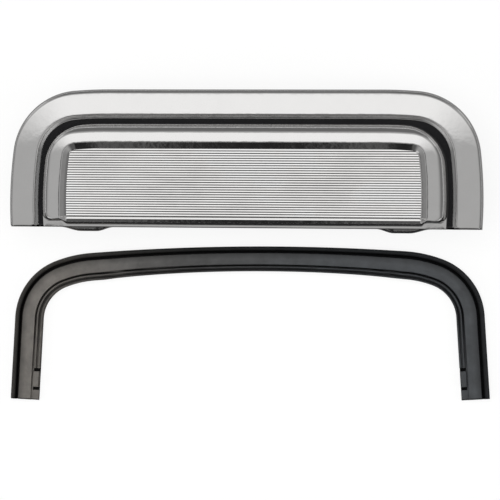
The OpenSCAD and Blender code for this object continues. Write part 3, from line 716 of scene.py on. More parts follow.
    def paint_channel_shade(self, path, piece):
        """Marks the faces that take painted shade: the whole channel, and the lip, more heavily toward the
        legs.
        """
        s, lip_z = path.s, path.s.band_height - path.s.lip_drop
        floor_low, wall_top, lip_top = s.floor_height - 0.05, lip_z - 0.75, lip_z + 0.36
        wall_from, lip_from, lip_to = s.band_width - 0.3, s.band_width - 2.1, s.band_width + 0.1
        lip_shade, fade_from, fade_over = 0.8, 1.0, 0.8
        marks = piece.attributes.new("recess", "FLOAT", "FACE").data
        for face, mark in zip(piece.polygons, marks):
            x, y, z = (c / MM for c in face.center)
            out, over = abs(x) - path.corner[0], y - path.corner[1]
            legward = 0.0
            if out <= 0:
                beside = path.top_y - y
            else:
                beside = path.inset(x, y) if over < 0 else s.corner_radius - math.hypot(out, over)
                legward = min(max((fade_from - math.atan2(over, out)) / fade_over, 0.0), 1.0)
            # Painted shade: full on the channel floor and walls, partial on the stepped lip, growing toward
            # the legs.
            if floor_low < z < wall_top and beside > wall_from:
                mark.value = 1.0
            elif wall_top <= z < lip_top and lip_from < beside < lip_to:
                mark.value = lip_shade * legward


class LensFrame:
    """The inner bezel as rings of points, each round the legs and top and along the rail under the lens.

    A ring has the section's point (inset, height), its setbacks under the legs and along the rail, its height
    over the rail, its corner radius, its pull into the upper corners and its share: None where the rail
    keeps the ring's height, 0 to 1 up the rail's riser, and OVER on the face, where the legs rise over the
    rail."""

    OVER = -1
    # Corner radii in mm: of the rings with square corners, and of the lens opening.
    SQUARE, WINDOW = 0.8, 1.1

    def __init__(self, s):
        self.s, self.path = s, ArchPath(s)
        self.foot_u = s.band_width + s.channel_width
        self.window_u = self.foot_u + s.frame_width
        self.face_u = self.window_u - s.slope_width
        self.half_turn = (math.pi / 2 - s.shoulder_turn - s.leg_turn) / 2
        self.riser_foot, self.rail_top = s.rail_lip + 0.17, s.ledge_height + 0.15
        self.roll, self.face, self.inner = self.section()
        self.top_u, self.top_z = zip(*(self.face + self.inner))

    def section(self):
        """The section's rolled edge, its crowned face, and the nose and slope down to the lens."""
        s, crest = self.s, self.s.floor_height + self.s.frame_height
        roll_u = (self.foot_u + (s.frame_height - s.roll_radius) * math.tan(s.draft)
                  + s.roll_radius * math.cos(s.draft))
        start, end, crease = 8, 4, 17
        first, last, fold = (math.radians(a) for a in (start, end, crease))
        edge_u = roll_u - s.roll_radius * math.sin(fold)
        radius = (self.face_u - edge_u) / (math.sin(first) - math.sin(last))
        roll_z = crest - radius * (math.cos(last) - math.cos(first)) - s.roll_radius * math.cos(fold)
        face_c = (self.face_u + radius * math.sin(last), crest - radius * math.cos(last))
        roll = arc((roll_u, roll_z), s.roll_radius, 180 - math.degrees(s.draft), 90 + crease, 12)
        face = arc(face_c, radius, 90 + start, 90 + end, 6)
        nose, nose_at, window_edge = 0.8, 0.06, 0.12
        inner = arc((self.face_u + nose_at, crest - nose), nose, 84, 52, 3)
        slope_from, slope_end = 0.6, s.slope_width - 0.4
        slope_top, slope_foot = crest - 0.2, s.ledge_height + 0.45
        for t in (0.08, 0.35, 0.7, 1.0):
            inner.append((self.face_u + slope_from + t * (slope_end - slope_from),
                          slope_top - t * (slope_top - slope_foot)))
        inner += [(self.window_u - window_edge, s.ledge_height + window_edge)]
        inner += [(self.window_u, s.ledge_height)]
        return roll, face, inner

    def ring(self, point, under, along, height, radius=SQUARE, pull=0.0, share=None):
        return SimpleNamespace(point=point, under=under, along=along, height=height, radius=radius, pull=pull,
                               share=share)

    def rings(self):
        s, lip, floor_z = self.s, self.s.rail_lip, self.s.floor_height
        found = []
        # Outer wall: level, setback and radius, up to the rail's rounded lip.
        for rise, setback, radius in ((floor_z - lip, 0, self.SQUARE), (-0.4, 0, self.SQUARE),
                                      (-0.12, 0.12, 1.0), (0, 0.4, 1.3), (0.05, 0.5, 1.4)):
            wall = (self.foot_u + (lip + rise - floor_z) * math.tan(s.draft), lip + rise)
            found.append(self.ring(wall, setback, setback, lip + min(rise, 0), radius, 1.0))
        # Rolled edge: the riser of the rail leans back as the legs' ends do.
        riser_turn, end_lean, rail_lean, rail_turn, rail_setback = 86, 1.8, 3.2, 0.93, 1.75
        roll_radius, roll_growth = 5.0, 0.04
        for k, point in enumerate(self.roll):
            part = k / (len(self.roll) - 1)
            a = math.radians(riser_turn * part)
            under = s.end_setback + end_lean * (1 - math.cos(a))
            along = rail_setback + rail_lean * (1 - math.cos(a * rail_turn))
            found.append(self.ring(point, under, along, self.riser_foot, roll_radius + roll_growth * k,
                                   1 - part, math.sin(a)))
        # Face and slope: the rail's top, then its fall to the lens.
        under_from, under_rise, along_from, along_rise, along_slope = 5.6, 0.8, 4.97, 0.36, 5.35
        face_radius, rail_crown, rail_fall = 5.5, 0.2, 0.18
        start = self.face[0][0]
        for point in self.face[1:] + self.inner:
            t, b = (point[0] - start) / (self.face_u - start), (point[0] - self.face_u) / s.slope_width
            if t <= 1:
                under, along = under_from + under_rise * t, along_from + along_rise * t
                radius = face_radius + (self.WINDOW - face_radius) * t
                height = self.rail_top + rail_crown * t
            else:
                slope_under = under_from + under_rise
                under = slope_under + (s.rail_height - slope_under) * b
                along = along_slope + (s.rail_height - along_slope) * b
                radius, height = self.WINDOW, self.rail_top + rail_crown - rail_fall * b
            found.append(self.ring(point, under, along, height, radius, 0.0, self.OVER))
        # Back: the ledge's underside, the lens pocket and the foot on the channel floor. Each ring is its
        # inset, height, setback, height over the rail, corner radius and pull.
        lens_front, back_z, pocket, foot = s.ledge_height - s.ledge_thickness, 1.2, 2.9, 4.9
        for inset, z, setback, height, radius, pull in (
                (self.window_u, lens_front, s.rail_height, lens_front, self.WINDOW, 0.0),
                (self.window_u - pocket, lens_front, 4.4, lens_front, self.SQUARE, 0.0),
                (self.window_u - pocket, back_z, 4.4, back_z, self.SQUARE, 0.0),
                (self.window_u - foot, back_z, 2.0, back_z, self.SQUARE, 0.0),
                (self.window_u - foot, floor_z, 1.0, back_z, self.SQUARE, 0.0),
                (self.foot_u + 0.3, floor_z, 0, back_z, self.SQUARE, 1.0)):
            found.append(self.ring((inset, z), setback, setback, height, radius, pull))
        return found

    def height_at(self, x, y, at_least):
        """Height of the leg's face over a point, or the given height where that is more."""
        u = self.path.inset(x, y)
        return at_least if u >= self.window_u else max(at_least, float(np.interp(u, self.top_u, self.top_z)))

    def rail_level(self, ring, x, y):
        """Height of a ring over the rail at a point."""
        if ring.share is None:
            return ring.height
        if ring.share == self.OVER:
            return self.height_at(x, y, ring.height)
        riser_gap = 0.1
        rise = self.height_at(x, y, self.rail_top) - self.riser_foot - riser_gap
        return self.riser_foot + rise * ring.share

    def tucked(self, x, y, inset, pull):
        """Draws a point of an upper corner inward, onto a wider arc that meets the same two sides."""
        s, half_turn, (corner_x, corner_y) = self.s, self.half_turn, self.path.corner
        radius = s.corner_radius - inset
        shift = pull * s.corner_tuck / (1 - math.cos(half_turn))
        wide = radius + shift * math.cos(half_turn)
        a = math.atan2(y - corner_y, x - corner_x) - s.leg_turn - half_turn
        edge = min(max(a, -half_turn), half_turn)
        out, up = math.cos(edge + half_turn + s.leg_turn), math.sin(edge + half_turn + s.leg_turn)
        if a == edge:
            inward = radius + shift * math.cos(a) - math.sqrt(wide * wide - (shift * math.sin(a)) ** 2)
        else:
            gone = math.hypot(x - corner_x - radius * out, y - corner_y - radius * up)
            inward = wide - math.sqrt(wide * wide - max(shift * math.sin(half_turn) - gone, 0) ** 2)
        return x - inward * out, y - inward * up

    def loop(self, ring):
        """Points of a ring: along the rail from its middle, round the turn, up to the crown, and back."""
        s, path, base = self.s, self.path, self.path.base_y
        u, z = ring.point
        turn_y = base + ring.under + ring.radius
        turn_x = path.leg(turn_y, u) - ring.radius
        window_margin, rail_middle, blend_over = 2, base + 5, 16
        window_x = path.leg(base + s.rail_height, self.window_u) - window_margin
        mid_x = min(path.leg(rail_middle, self.face_u), turn_x)
        points = []
        for start, end, steps in ((0, window_x, 24), (window_x, mid_x, 10), (mid_x, turn_x, 6)):
            for x in (start + (end - start) * i / steps for i in range(steps)):
                part = eased((self.window_u - path.inset(x, rail_middle)) / s.slope_width)
                y = base + ring.along + (ring.under - ring.along) * part
                points.append((x, y, self.rail_level(ring, x, y)))
        bend = arc((turn_x, turn_y), ring.radius, -90, 0, 12)[:-1]
        for i, (x, y) in enumerate(bend):
            low = self.rail_level(ring, x, y)
            blend = eased(i / len(bend) / 2)
            level = self.height_at(x, y, z) if ring.share == self.OVER else low + (z - low) * blend
            points.append((x, y, level))
        for x, y in path.half(u, turn_y, (10, 8, 34, 30))[::-1]:
            x, y = self.tucked(x, y, u, ring.pull)
            low = self.rail_level(ring, x, y)
            blend = eased(1 / 2 + (y - turn_y) / blend_over)
            points.append((x, y, z if ring.share == self.OVER else low + (z - low) * blend))
        return points + [(-x, y, level) for x, y, level in points[-2:0:-1]]

    def lug(self, side):
        """A cast lug on the bottom edge that swells in and out along its length."""
        s, base = self.s, self.path.base_y
        inner, outer, inner_ease, outer_ease, skin, steps = 17, 21, 12, 15, 0.02, 25
        root_y, back_z, root_z = base + 0.8, 1.2, 7.0
        # Front of the section: share of the depth below the edge, and height.
        front = ((1, 1.2), (1, 2.2), (0.85, 4.2), (0.5, 6.0), (0, 6.9))
        rows = []
        for x in np.linspace(s.lug_place - inner, s.lug_place + outer, steps):
            swell = min((x - s.lug_place + inner) / inner_ease, (s.lug_place + outer - x) / outer_ease)
            depth = s.lug_depth * eased(swell) + skin
            below = [(base - share * depth, z) for share, z in front]
            rows.append([(side * x, y, z) for y, z in [(root_y, back_z)] + below + [(root_y, root_z)]])
        return loft("lug", rows, closed=False)


class InnerBezel(bpy.types.Operator):
    """Raised lens bezel: drafted wall, rolled edge, crowned face, slope to the lens, bottom rail and lugs"""
    bl_idname = "brake_light.inner_bezel"
    bl_label = "Inner bezel"

    def execute(self, context):
        lens_frame = LensFrame(sizes(context.scene.lamp_sizes))
        body = loft("inner_bezel", [lens_frame.loop(ring) for ring in lens_frame.rings()])
        piece = joined("inner_bezel", body, *[lens_frame.lug(side) for side in (-1, 1)])
        dressed(piece, "inner_bezel_cast", "lamp", ["inner_bezel"], bright_chrome(),
                sharp=34)
        return {"FINISHED"}


class FlutedLens(bpy.types.Operator):
    """Lens plate with a field of convex flutes"""
    bl_idname = "brake_light.fluted_lens"
    bl_label = "Fluted lens"

    def execute(self, context):
        s, n = sizes(context.scene.lamp_sizes), sizes(context.scene.lens_sizes)
        path = ArchPath(s)
        window_u, window_y = s.band_width + s.channel_width + s.frame_width, path.base_y + s.rail_height
        front = s.ledge_height - s.ledge_thickness
        field_u, low = window_u + n.clearance, window_y + n.clearance
        pitch = (path.top_y - field_u - low) / n.flutes
        section = self.section(n, pitch)
        flute = loft("flute", [[(x / MM, y, z) for y, z in section] for x in (-1, 1)], closed=False)
        # The flutes are stretched to the opening row by row, then trimmed to its outline point by point.
        side_lap, foot_lap, row_middle = 0.15, 0.5, 0.3
        edge = np.array(path.half(field_u - side_lap, low - foot_lap, (1, 6, 40, 40))[::-1])
        rows = [low + (i + 0.5) * pitch for i in range(n.flutes)]
        reach = [float(np.interp(y + pitch * row_middle, edge[:, 1], edge[:, 0])) * MM for y in rows]
        material = metallised_lens()
        flutes = repeated(flute, [(0, y, front + n.rise) for y in rows], material, reach)
        for v in flutes.vertices:
            v.co.x = math.copysign(float(np.interp(v.co.y / MM, edge[:, 1], edge[:, 0])) * MM, v.co.x)
        plate_lap, field_half = 2.4, 0.4
        plate = prism("plate", path.outline(window_u - n.overlap, window_y - plate_lap), front - n.thickness,
                      front)
        field = prism("field", path.outline(field_u, low), front - field_half, front + field_half)
        dressed(joined("fluted_lens", flutes, plate, field), "fluted_lens_moulding", "lamp", ["fluted_lens"],
                material, sharp=50)
        return {"FINISHED"}

    def section(self, n, pitch):
        """Section of one flute from its lower edge: a short steep face, the crest and a long gentle face."""
        low_part, steps, root = 0.43, 8, 0.2
        steep, steep_bow, gentle, gentle_bow, gentle_from = 0.2, 0.75, 0.065, 0.055, 0.12
        low_run, high_run = pitch * low_part, pitch * (1 - low_part)
        points = []
        for t in np.linspace(1, 0, steps):
            fall = n.flute_height * (steep * t + steep_bow * t * t)
            points.append((low_run * (1 - t) - pitch / 2, n.flute_height - fall))
        for t in np.linspace(gentle_from, 1, steps):
            fall = high_run * (gentle * t + gentle_bow * t * t)
            points.append((low_run - pitch / 2 + high_run * t, n.flute_height - fall))
        return points + [(pitch / 2, root - n.rise), (-pitch / 2, root - n.rise)]


class SealPath:
    """Outer edge of the laid seal: crown, shoulder and corner arcs that meet in line, then straight legs."""

    def __init__(self, s, g, bench):
        sin, cos = math.sin, math.cos
        first, second = g.crown_turn, g.crown_turn + g.shoulder_turn
        last = second + g.corner_turn
        shoulder, corner = g.shoulder_radius, g.corner_radius
        run = shoulder * (sin(second) - sin(first)) + corner * (sin(last) - sin(second))
        fall = shoulder * (cos(first) - cos(second)) + corner * (cos(second) - cos(last))
        lean = cos(last) / sin(last)
        spare = (s.lamp_width + g.spread) / 2 - run - lean * (g.height - fall)
        crown = spare / (sin(first) - (1 - cos(first)) * lean)
        self.leg = (g.height - fall - crown * (1 - cos(first))) / sin(last)
        self.down, self.inward = np.array([cos(last), -sin(last)]), np.array([-sin(last), -cos(last)])
        x, y, radius, right = 0, -crown, crown, []
        for arc_radius, start, end, steps in ((crown, 0, first, 14), (shoulder, first, second, 14),
                                              (corner, second, last, 40)):
            x, y = x + (radius - arc_radius) * sin(start), y + (radius - arc_radius) * cos(start)
            radius = arc_radius
            turns = np.linspace(start, end, steps + 1)[:-1]
            right += [(x + radius * sin(a), y + radius * cos(a)) for a in turns]
        self.knee = np.array((x + radius * sin(last), y + radius * cos(last)))
        right += [tuple(self.knee), tuple(self.knee + self.down * (self.leg - g.trim))]
        self.place = (Matrix.Translation((g.shift, -s.leg_drop - g.gap, bench))
                      @ Matrix.Rotation(g.turned, 4, "Z"))
        outline = [(-x, y) for x, y in right[::-1]] + right[1:]
        self.line = [tuple(self.place @ Vector((x, y, 0))) for x, y in outline]

    def girths(self):
        """Scale of the section along the line: slimmer over the crown."""
        slim_by, slim_half, slim_power = 0.11, 105, 0.7
        return [1 - slim_by * (1 - min(abs(x) / slim_half, 1) ** 2) ** slim_power for x, _, _ in self.line]

    def on_leg(self, side, reach, u, z):
        """A point of a leg, by its distance from the knee, its inset and its height."""
        x, y = self.knee + self.down * reach + self.inward * u
        return tuple(self.place @ Vector((side * x, y, z)))


class BodySeal(bpy.types.Operator):
    """Rubber body seal: outer bead, flat band, ridge and inner lip, with trimmed and tabbed leg ends"""
    bl_idname = "brake_light.body_seal"
    bl_label = "Body seal"

    def execute(self, context):
        scene = context.scene
        g = sizes(scene.seal_sizes)
        path = SealPath(sizes(scene.lamp_sizes), g, sizes(scene.fitting_sizes).bench)
        lip_from, narrower = g.band - 2 * g.lip_radius, 0.15
        ridge_from = lip_from - (g.groove_width - 2 * narrower) - 2 * g.ridge_radius
        flat_to = ridge_from - (g.groove_width - narrower)
        whole, plain, notch, tab = self.chains(g, flat_to, ridge_from, lip_from)
        material = seal_rubber()
        girths = path.girths()
        meshes = [welded(swept(path.line, whole, True, material, True, girths))]
        # Each length of a trimmed end: its section and its stations (distance down the leg, height scale).
        notch_length, end_chamfer, end_height = 2.3, 0.9, 0.72
        far_tab = path.leg - g.tab_place
        near_tab, notch_end = far_tab - g.tab_length, far_tab + notch_length
        lengths = ((notch, ((path.leg - g.trim, 1), (near_tab, 1))), (plain, ((near_tab, 1), (far_tab, 1))),
                   (notch, ((far_tab, 1), (notch_end, 1))),
                   (plain, ((notch_end, 1), (path.leg - end_chamfer, 1), (path.leg, end_height))),
                   (tab, ((near_tab, 1), (far_tab, 1))))
        for side in (-1, 1):
            for chain, stations in lengths:
                rows = [[path.on_leg(side, reach, u, z * scale) for u, z in chain]
                        for reach, scale in stations]
                meshes.append(loft("end", rows, closed=False))
        piece = joined("body_seal", *meshes)
        # Painted shade: each point's share of the rubber's tone.
        rubber_shade = self.rubber_shade(piece, path, girths, g, flat_to, ridge_from, lip_from)
        piece.attributes.new("rubber_shade", "FLOAT", "POINT").data.foreach_set("value", rubber_shade)
        dressed(piece, "body_seal_extrusion", "seal", ["body_seal"], material, sharp=40)
        return {"FINISHED"}

    def chains(self, g, flat_to, ridge_from, lip_from):
        """Closed sections: the whole seal, a trimmed end, a notch in it and a tab on it."""
        foot, fillet, edge, bow = 0.25, 0.2, 0.5, 0.06
        low, flat, bead_to = g.groove_height, g.flat_height, 2 * g.bead_radius
        flat_from = bead_to + g.groove_width
        outer = [(foot, 0), (0, foot)]
        outer += arc((g.bead_radius, g.bead_height - g.bead_radius), g.bead_radius, 180, 0, 14)
        outer += [(bead_to, low + fillet), (bead_to + fillet, low), (flat_from - fillet, low),
                  (flat_from, low + fillet)]
        outer += arc((flat_from + edge, flat - edge), edge, 180, 90, 4)
        outer += [((flat_from + flat_to) / 2, flat + bow)]
        outer += arc((flat_to - edge, flat - edge), edge, 90, 0, 4)
        heel = [(g.band, foot), (g.band - foot, 0)]
        ridge_root, lip_below = 0.1, 0.9
        tail = [(flat_to, low + fillet), (flat_to + fillet, low), (ridge_from - ridge_root, low)]
        tail += arc((ridge_from + g.ridge_radius, flat), g.ridge_radius, 180, 0, 8)
        tail += [(ridge_from + 2 * g.ridge_radius, low), (lip_from, low)]
        tail += arc((lip_from + g.lip_radius, flat - lip_below), g.lip_radius, 180, 0, 8)
        step, notch_low = ridge_from - 0.35, low - 1.4
        plain = [(flat_to, low), (g.band, low)]
        notch = [(flat_to, low), (step, low), (step, notch_low), (g.band, notch_low)]
        tab_low, tab_top, tab_edge, tab_end = low - 0.5, flat - 0.1, 0.4, g.band - 0.3
        tab = [(step, tab_low), (step, tab_top)] + arc((step + tab_edge, tab_top), tab_edge, 180, 90, 3)
        tab += arc((tab_end - tab_edge, tab_top), tab_edge, 90, 0, 3) + [(tab_end, tab_low)]
        return outer + tail + heel, outer + plain + heel, outer + notch + heel, tab

    def rubber_shade(self, piece, path, girths, g, flat_to, ridge_from, lip_from):
        """Share of the rubber's tone kept at each point, by its distance from the outer edge: painted shade.

        It is low on the bead, near nothing in the grooves, at the notches and at the leg ends, and full on
        the flat band."""
        # Distances in mm and the share of the tone there; low shares are painted shade.
        steps = [(0, 0.5), (0.8, 0.3), (1.6, 0.2), (2.8, 0.14), (3.3, 0.03), (5.0, 0.03), (5.4, 0.4),
                 (6.2, 0.8), (7.2, 1.0), (flat_to - 0.4, 1.0), (flat_to - 0.1, 0.85), (flat_to + 0.15, 0.05),
                 (ridge_from - 0.1, 0.05), (ridge_from + 0.3, 0.7), (ridge_from + 1.1, 0.7),
                 (ridge_from + 1.6, 0.08), (lip_from - 0.1, 0.1), (lip_from + 0.5, 0.35), (g.band, 0.7)]
        tab_share, notch_shade, end_share = 0.85, 0.03, 0.2
        edge = np.array([p[:2] for p in path.line])
        edge = np.vstack([[2 * edge[0] - edge[1]], edge, [2 * edge[-1] - edge[-2]]])
        scale = [girths[0]] + girths + [girths[-1]]
        start, run = edge[:-1], edge[1:] - edge[:-1]
        back, knee, down = path.place.inverted(), Vector(path.knee), Vector(path.down)
        trim_y = (path.knee + path.down * (path.leg - g.trim))[1] - 0.05
        trim_u, tab_z, end_reach = flat_to - 0.3, g.groove_height - 0.3, path.leg - 0.2
        values = []
        for v in piece.vertices:
            spot = np.array([v.co.x, v.co.y]) / MM
            t = np.clip(((spot - start) * run).sum(1) / (run ** 2).sum(1), 0, 1)
            far = np.linalg.norm(start + run * t[:, None] - spot, axis=1)
            nearest = int(far.argmin())
            u = far[nearest] / scale[nearest]
            local = back @ Vector((*spot, v.co.z / MM))
            share = float(np.interp(u, *zip(*steps)))
            # Painted shade: the notch under each tab is near black, the tab keeps most of its tone, and the
            # leg ends are darkened.
            if local.y < trim_y and u > trim_u:
                share = tab_share if local.z > tab_z else notch_shade
            if (Vector((abs(local.x), local.y)) - knee).dot(down) > end_reach:
                share *= end_share
            values.append(share)
        return values


class Fittings(bpy.types.Operator):
    """Threaded studs and the screw heads on the back of the lamp"""
    bl_idname = "brake_light.fittings"
    bl_label = "Studs and screws"

    def execute(self, context):
        s, f = sizes(context.scene.lamp_sizes), sizes(context.scene.fitting_sizes)
        path = ArchPath(s)
        side = path.leg(0, f.stud_inset)
        spots = [path.on_shoulder(-f.stud_place, f.stud_inset), path.on_shoulder(f.stud_place, f.stud_inset),
                 (-side, 0), (side, 0)]
        self.row(self.stud(f), spots, 0, "mounting_stud_threads", "mounting_studs", sharp=50)
        screw = self.screw(f)
        end_x, top, leg_y = path.top_half - f.screw_inset, path.top_y - f.box_screw_inset, 5
        leg = path.leg(leg_y, f.box_screw_inset)
        spots = [(-end_x, top), (0, top), (end_x, top), (-leg, leg_y), (leg, leg_y)]
        self.row(screw, spots, f.flange_back, "box_screw_heads", "box_screws", sharp=40)
        step_in, leg_y, box_wall, column, sunk = 8, 8, 2.2, 2.8, 0.1
        cover_x, top, foot = end_x - step_in, path.top_y - f.cover_screw_inset, f.box_foot + box_wall + column
        leg = path.leg(leg_y, f.cover_screw_inset)
        spots = [(-cover_x, top), (cover_x, top), (-leg, leg_y), (leg, leg_y), (-cover_x, foot),
                 (cover_x, foot)]
        level = f.bench + f.head_height + sunk
        self.row(screw, spots, level, "cover_screw_heads", "cover_screws", sharp=40)
        return {"FINISHED"}

    def row(self, part, spots, z, name, node, sharp):
        """Puts one part on each spot at a level and dresses the lot."""
        material = plated_steel()
        dressed(repeated(part, [(x, y, z) for x, y in spots], material), name, "lamp", [node],
                material, sharp)

    def stud(self, f):
        """A stud: one thread, cut as a running groove round a bar, with a chamfered tip and a run-out."""
        sides, levels, depth, tip, run_out = 24, 6, 0.49, 1.0, 0.9
        groove_slope, groove_from = 1.5, 0.25
        rows = []
        for z in list(np.arange(-f.stud_length, 0, f.thread_pitch / levels)) + [0.0]:
            row = []
            for i in range(sides):
                a = 2 * math.pi * i / sides
                wave = abs(((z / f.thread_pitch - i / sides) % 1) * 2 - 1)
                r = f.stud_radius - depth * min(max(wave * groove_slope - groove_from, 0), 1)
                r = min(r, f.stud_radius - tip + (z + f.stud_length), f.stud_radius - depth - z * run_out)
                row.append((r * math.cos(a), r * math.sin(a), z))
            rows.append(row)
        return loft("stud", rows, closed=False)

    def screw(self, f):
        """A screw: a domed head with a cross recess, looking to -Z, and its shank."""
        r, h, sides = f.head_radius, f.head_height, 32
        # The shank in mm, and the dome by share of the head's radius and height.
        middle, shank, shank_end, shank_tip = 0.001, 1.5, 4.0, 4.2
        dome = ((0.35, 0.99), (0.7, 0.9), (0.92, 0.66), (1, 0.3), (1, 0))
        profile = [(middle, -h)] + [(r * out, -h * down) for out, down in dome]
        profile += [(shank, middle), (shank, shank_end), (middle, shank_tip)]
        turns = np.linspace(0, 2 * math.pi, sides, False)
        head = loft("head", [[(p * math.cos(a), p * math.sin(a), z) for a in turns] for p, z in profile],
                    closed=False)
        slot_half, slot_width, slot_depth, above = r * 0.6, 0.36, 0.75, 1
        slots = [prism("slot", [(a, b), (-a, b), (-a, -b), (a, -b)], -h - above, -h + slot_depth)
                 for a, b in ((slot_half, slot_width), (slot_width, slot_half))]
        return cut_by(head, joined("cross", *slots))


def cut_by(mesh, tool):
    """A mesh with a tool's shape cut out of it."""
    thing, knife = bpy.data.objects.new("thing", mesh), bpy.data.objects.new("knife", tool)
    for part in (thing, knife):
        bpy.context.scene.collection.objects.link(part)
    modifier = thing.modifiers.new("cut", "BOOLEAN")
    modifier.operation, modifier.object, modifier.solver = "DIFFERENCE", knife, "EXACT"
    modifier.use_self = True
    result = bpy.data.meshes.new_from_object(thing.evaluated_get(bpy.context.evaluated_depsgraph_get()))
    for part in (thing, knife):
        bpy.data.objects.remove(part)
    return result


class CarriedFinishes(bpy.types.Operator):
    """Finishes of the light box and the parts in it, which keep their CAD shapes"""
    bl_idname = "brake_light.finishes"
    bl_label = "Light box finishes"

    def execute(self, context):
        table = finishes_by_slot()
        for part in frame["record"]["subparts"]:
            piece = frame["nodes"][part["node"]]
            material = table[part["material_slot"]]
            if piece.material_slots:
                for slot in piece.material_slots:
                    slot.material = material
            else:
                piece.data.materials.append(material)
        return {"FINISHED"}


class Stage(bpy.types.Operator):
    """Pale floor, soft studio light and the camera"""
    bl_idname = "brake_light.stage"
    bl_label = "Stage"

    def execute(self, context):
        scene = context.scene
        scene.view_settings.view_transform = "Standard"
        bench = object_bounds()[0][2]
        floor_half, card_radius, card_points, card_lift = 30.0, 5.0, 48, 0.0001
        corners = ((-1, -1), (1, -1), (1, 1), (-1, 1))
        floor = self.sheet(scene, "floor", [(x * floor_half, y * floor_half, bench) for x, y in corners],
                           self.paper())
        floor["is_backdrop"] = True
        turns = np.linspace(0, 2 * math.pi, card_points, False)
        rim = [(card_radius * math.cos(a), card_radius * math.sin(a), bench + card_lift) for a in turns]
        # Painted reflection: a glowing sheet that only glossy rays see, grey on the bench and black below the
        # lamp's foot.
        card = self.sheet(scene, "bench_card", rim, self.grey_card())
        card.visible_camera = card.visible_diffuse = card.visible_transmission = card.visible_shadow = False
        card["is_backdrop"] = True
        self.studio(scene)
        # Soft lamps that the chrome doesn't mirror: name, place, aim and span in metres, and watts.
        for name, place, aim, span, power in (
                ("overhead", (0.0, 0.1, 1.5), (0, 0, 0), 1.6, 18.0),
                ("left_fill", (-1.3, -0.5, 1.0), (0, -0.03, 0), 1.0, 6.0),
                ("right_fill", (1.3, -0.3, 1.0), (0, -0.03, 0), 1.0, 5.0)):
            light = bpy.data.lights.new(name, "AREA")
            light.shape, light.size, light.energy = "DISK", span, power
            lamp = bpy.data.objects.new(name, light)
            scene.collection.objects.link(lamp)
            lamp.location = place
            lamp.rotation_euler = (Vector(aim) - Vector(place)).to_track_quat("-Z", "Y").to_euler()
            lamp.visible_glossy = False
        scene.camera = self.camera(scene)
        return {"FINISHED"}

    def sheet(self, scene, name, rim, material):
        """A flat sheet inside a rim of points in metres."""
        mesh = bpy.data.meshes.new(name)
        mesh.from_pydata(rim, [], [tuple(range(len(rim)))])
        thing = bpy.data.objects.new(name, mesh)
        scene.collection.objects.link(thing)
        mesh.materials.append(material)
        return thing

    def camera(self, scene):
        """The camera, turned round its aim; its lens fits the size of one pixel at the aim."""
        g = sizes(scene.stage_sizes)
        sensor, frame_pixels, far_clip = 36.0, 500, 100.0
        flat = math.cos(g.tilt)
        away = Vector((math.sin(g.azimuth) * flat, math.sin(g.tilt), math.cos(g.azimuth) * flat))
        right = Vector((0, 1, 0)).cross(away).normalized()
        up = away.cross(right)
        turned_right = right * math.cos(g.roll) + up * math.sin(g.roll)
        turned_up = up * math.cos(g.roll) - right * math.sin(g.roll)
        eye = bpy.data.cameras.new("camera")
        eye.sensor_width, eye.lens = sensor, g.distance / g.pixel * sensor / frame_pixels
        eye.clip_end = far_clip
        camera = bpy.data.objects.new("camera", eye)
        scene.collection.objects.link(camera)
        spot = (Vector((g.aim_x, g.aim_y, g.aim_z)) + away * g.distance) * MM
        axes = Matrix((turned_right, turned_up, away)).transposed().to_4x4()
        camera.matrix_world = Matrix.Translation(spot) @ axes
        return camera

    def paper(self):
        # Seamless background paper: even white that still takes a soft shadow.
        material = blank("background_paper")
        tree, glow_share = material.node_tree, 0.85
        rays = add(tree, "ShaderNodeLightPath").outputs
        seen = rays["Is Camera Ray"]
        for kind in ("Is Glossy Ray", "Is Transmission Ray"):
            seen = add(tree, "ShaderNodeMath", {0: seen, 1: rays[kind]}, operation="MAXIMUM").outputs[0]
        share = add(tree, "ShaderNodeMath", {0: seen, 1: glow_share}, operation="MULTIPLY").outputs[0]
        paper = add(tree, "ShaderNodeBsdfDiffuse", {"Color": (*linear("#f6f6f5"), 1)})
        glow = add(tree, "ShaderNodeEmission", {"Color": (1, 1, 1, 1), "Strength": 1.0})
        both = add(tree, "ShaderNodeMixShader", {0: share, 1: paper.outputs[0], 2: glow.outputs[0]})
        add(tree, "ShaderNodeOutputMaterial", {"Surface": both.outputs[0]})
        return material

    def grey_card(self):
        # A glowing sheet that only reflections see, grey on the bench and black below the lamp's foot: a
        # painted reflection that draws the rolled chrome edges on white paper.
        material = blank("grey_card")
        tree = material.node_tree
        black_to, grey_from, black, grey = -65, -20, 0.02, 0.24
        place = add(tree, "ShaderNodeTexCoord").outputs["Object"]
        y = add(tree, "ShaderNodeSeparateXYZ", {0: place}).outputs[1]
        level = add(tree, "ShaderNodeMapRange", {
            "Value": y, "From Min": black_to * MM, "From Max": grey_from * MM,
            "To Min": black, "To Max": grey}, interpolation_type="SMOOTHSTEP").outputs[0]
        glow = add(tree, "ShaderNodeEmission", {"Color": (1, 1, 1, 1), "Strength": level})
        add(tree, "ShaderNodeOutputMaterial", {"Surface": glow.outputs[0]})
        return material

    def studio(self, scene):
        """Studio round the lamp, by direction: grey walls, a white card above the crown, dark to the foot."""
        world = bpy.data.worlds.new("studio")
        scene.world = world
        world.use_nodes = True
        tree = world.node_tree
        tree.nodes.clear()
        azimuth, least_ahead = scene.stage_sizes.azimuth, 0.02
        # The dark round the camera: its height over the camera's heading, its half width and half height.
        dark_rise, dark_wide, dark_tall = 0.045, 0.13, 0.075
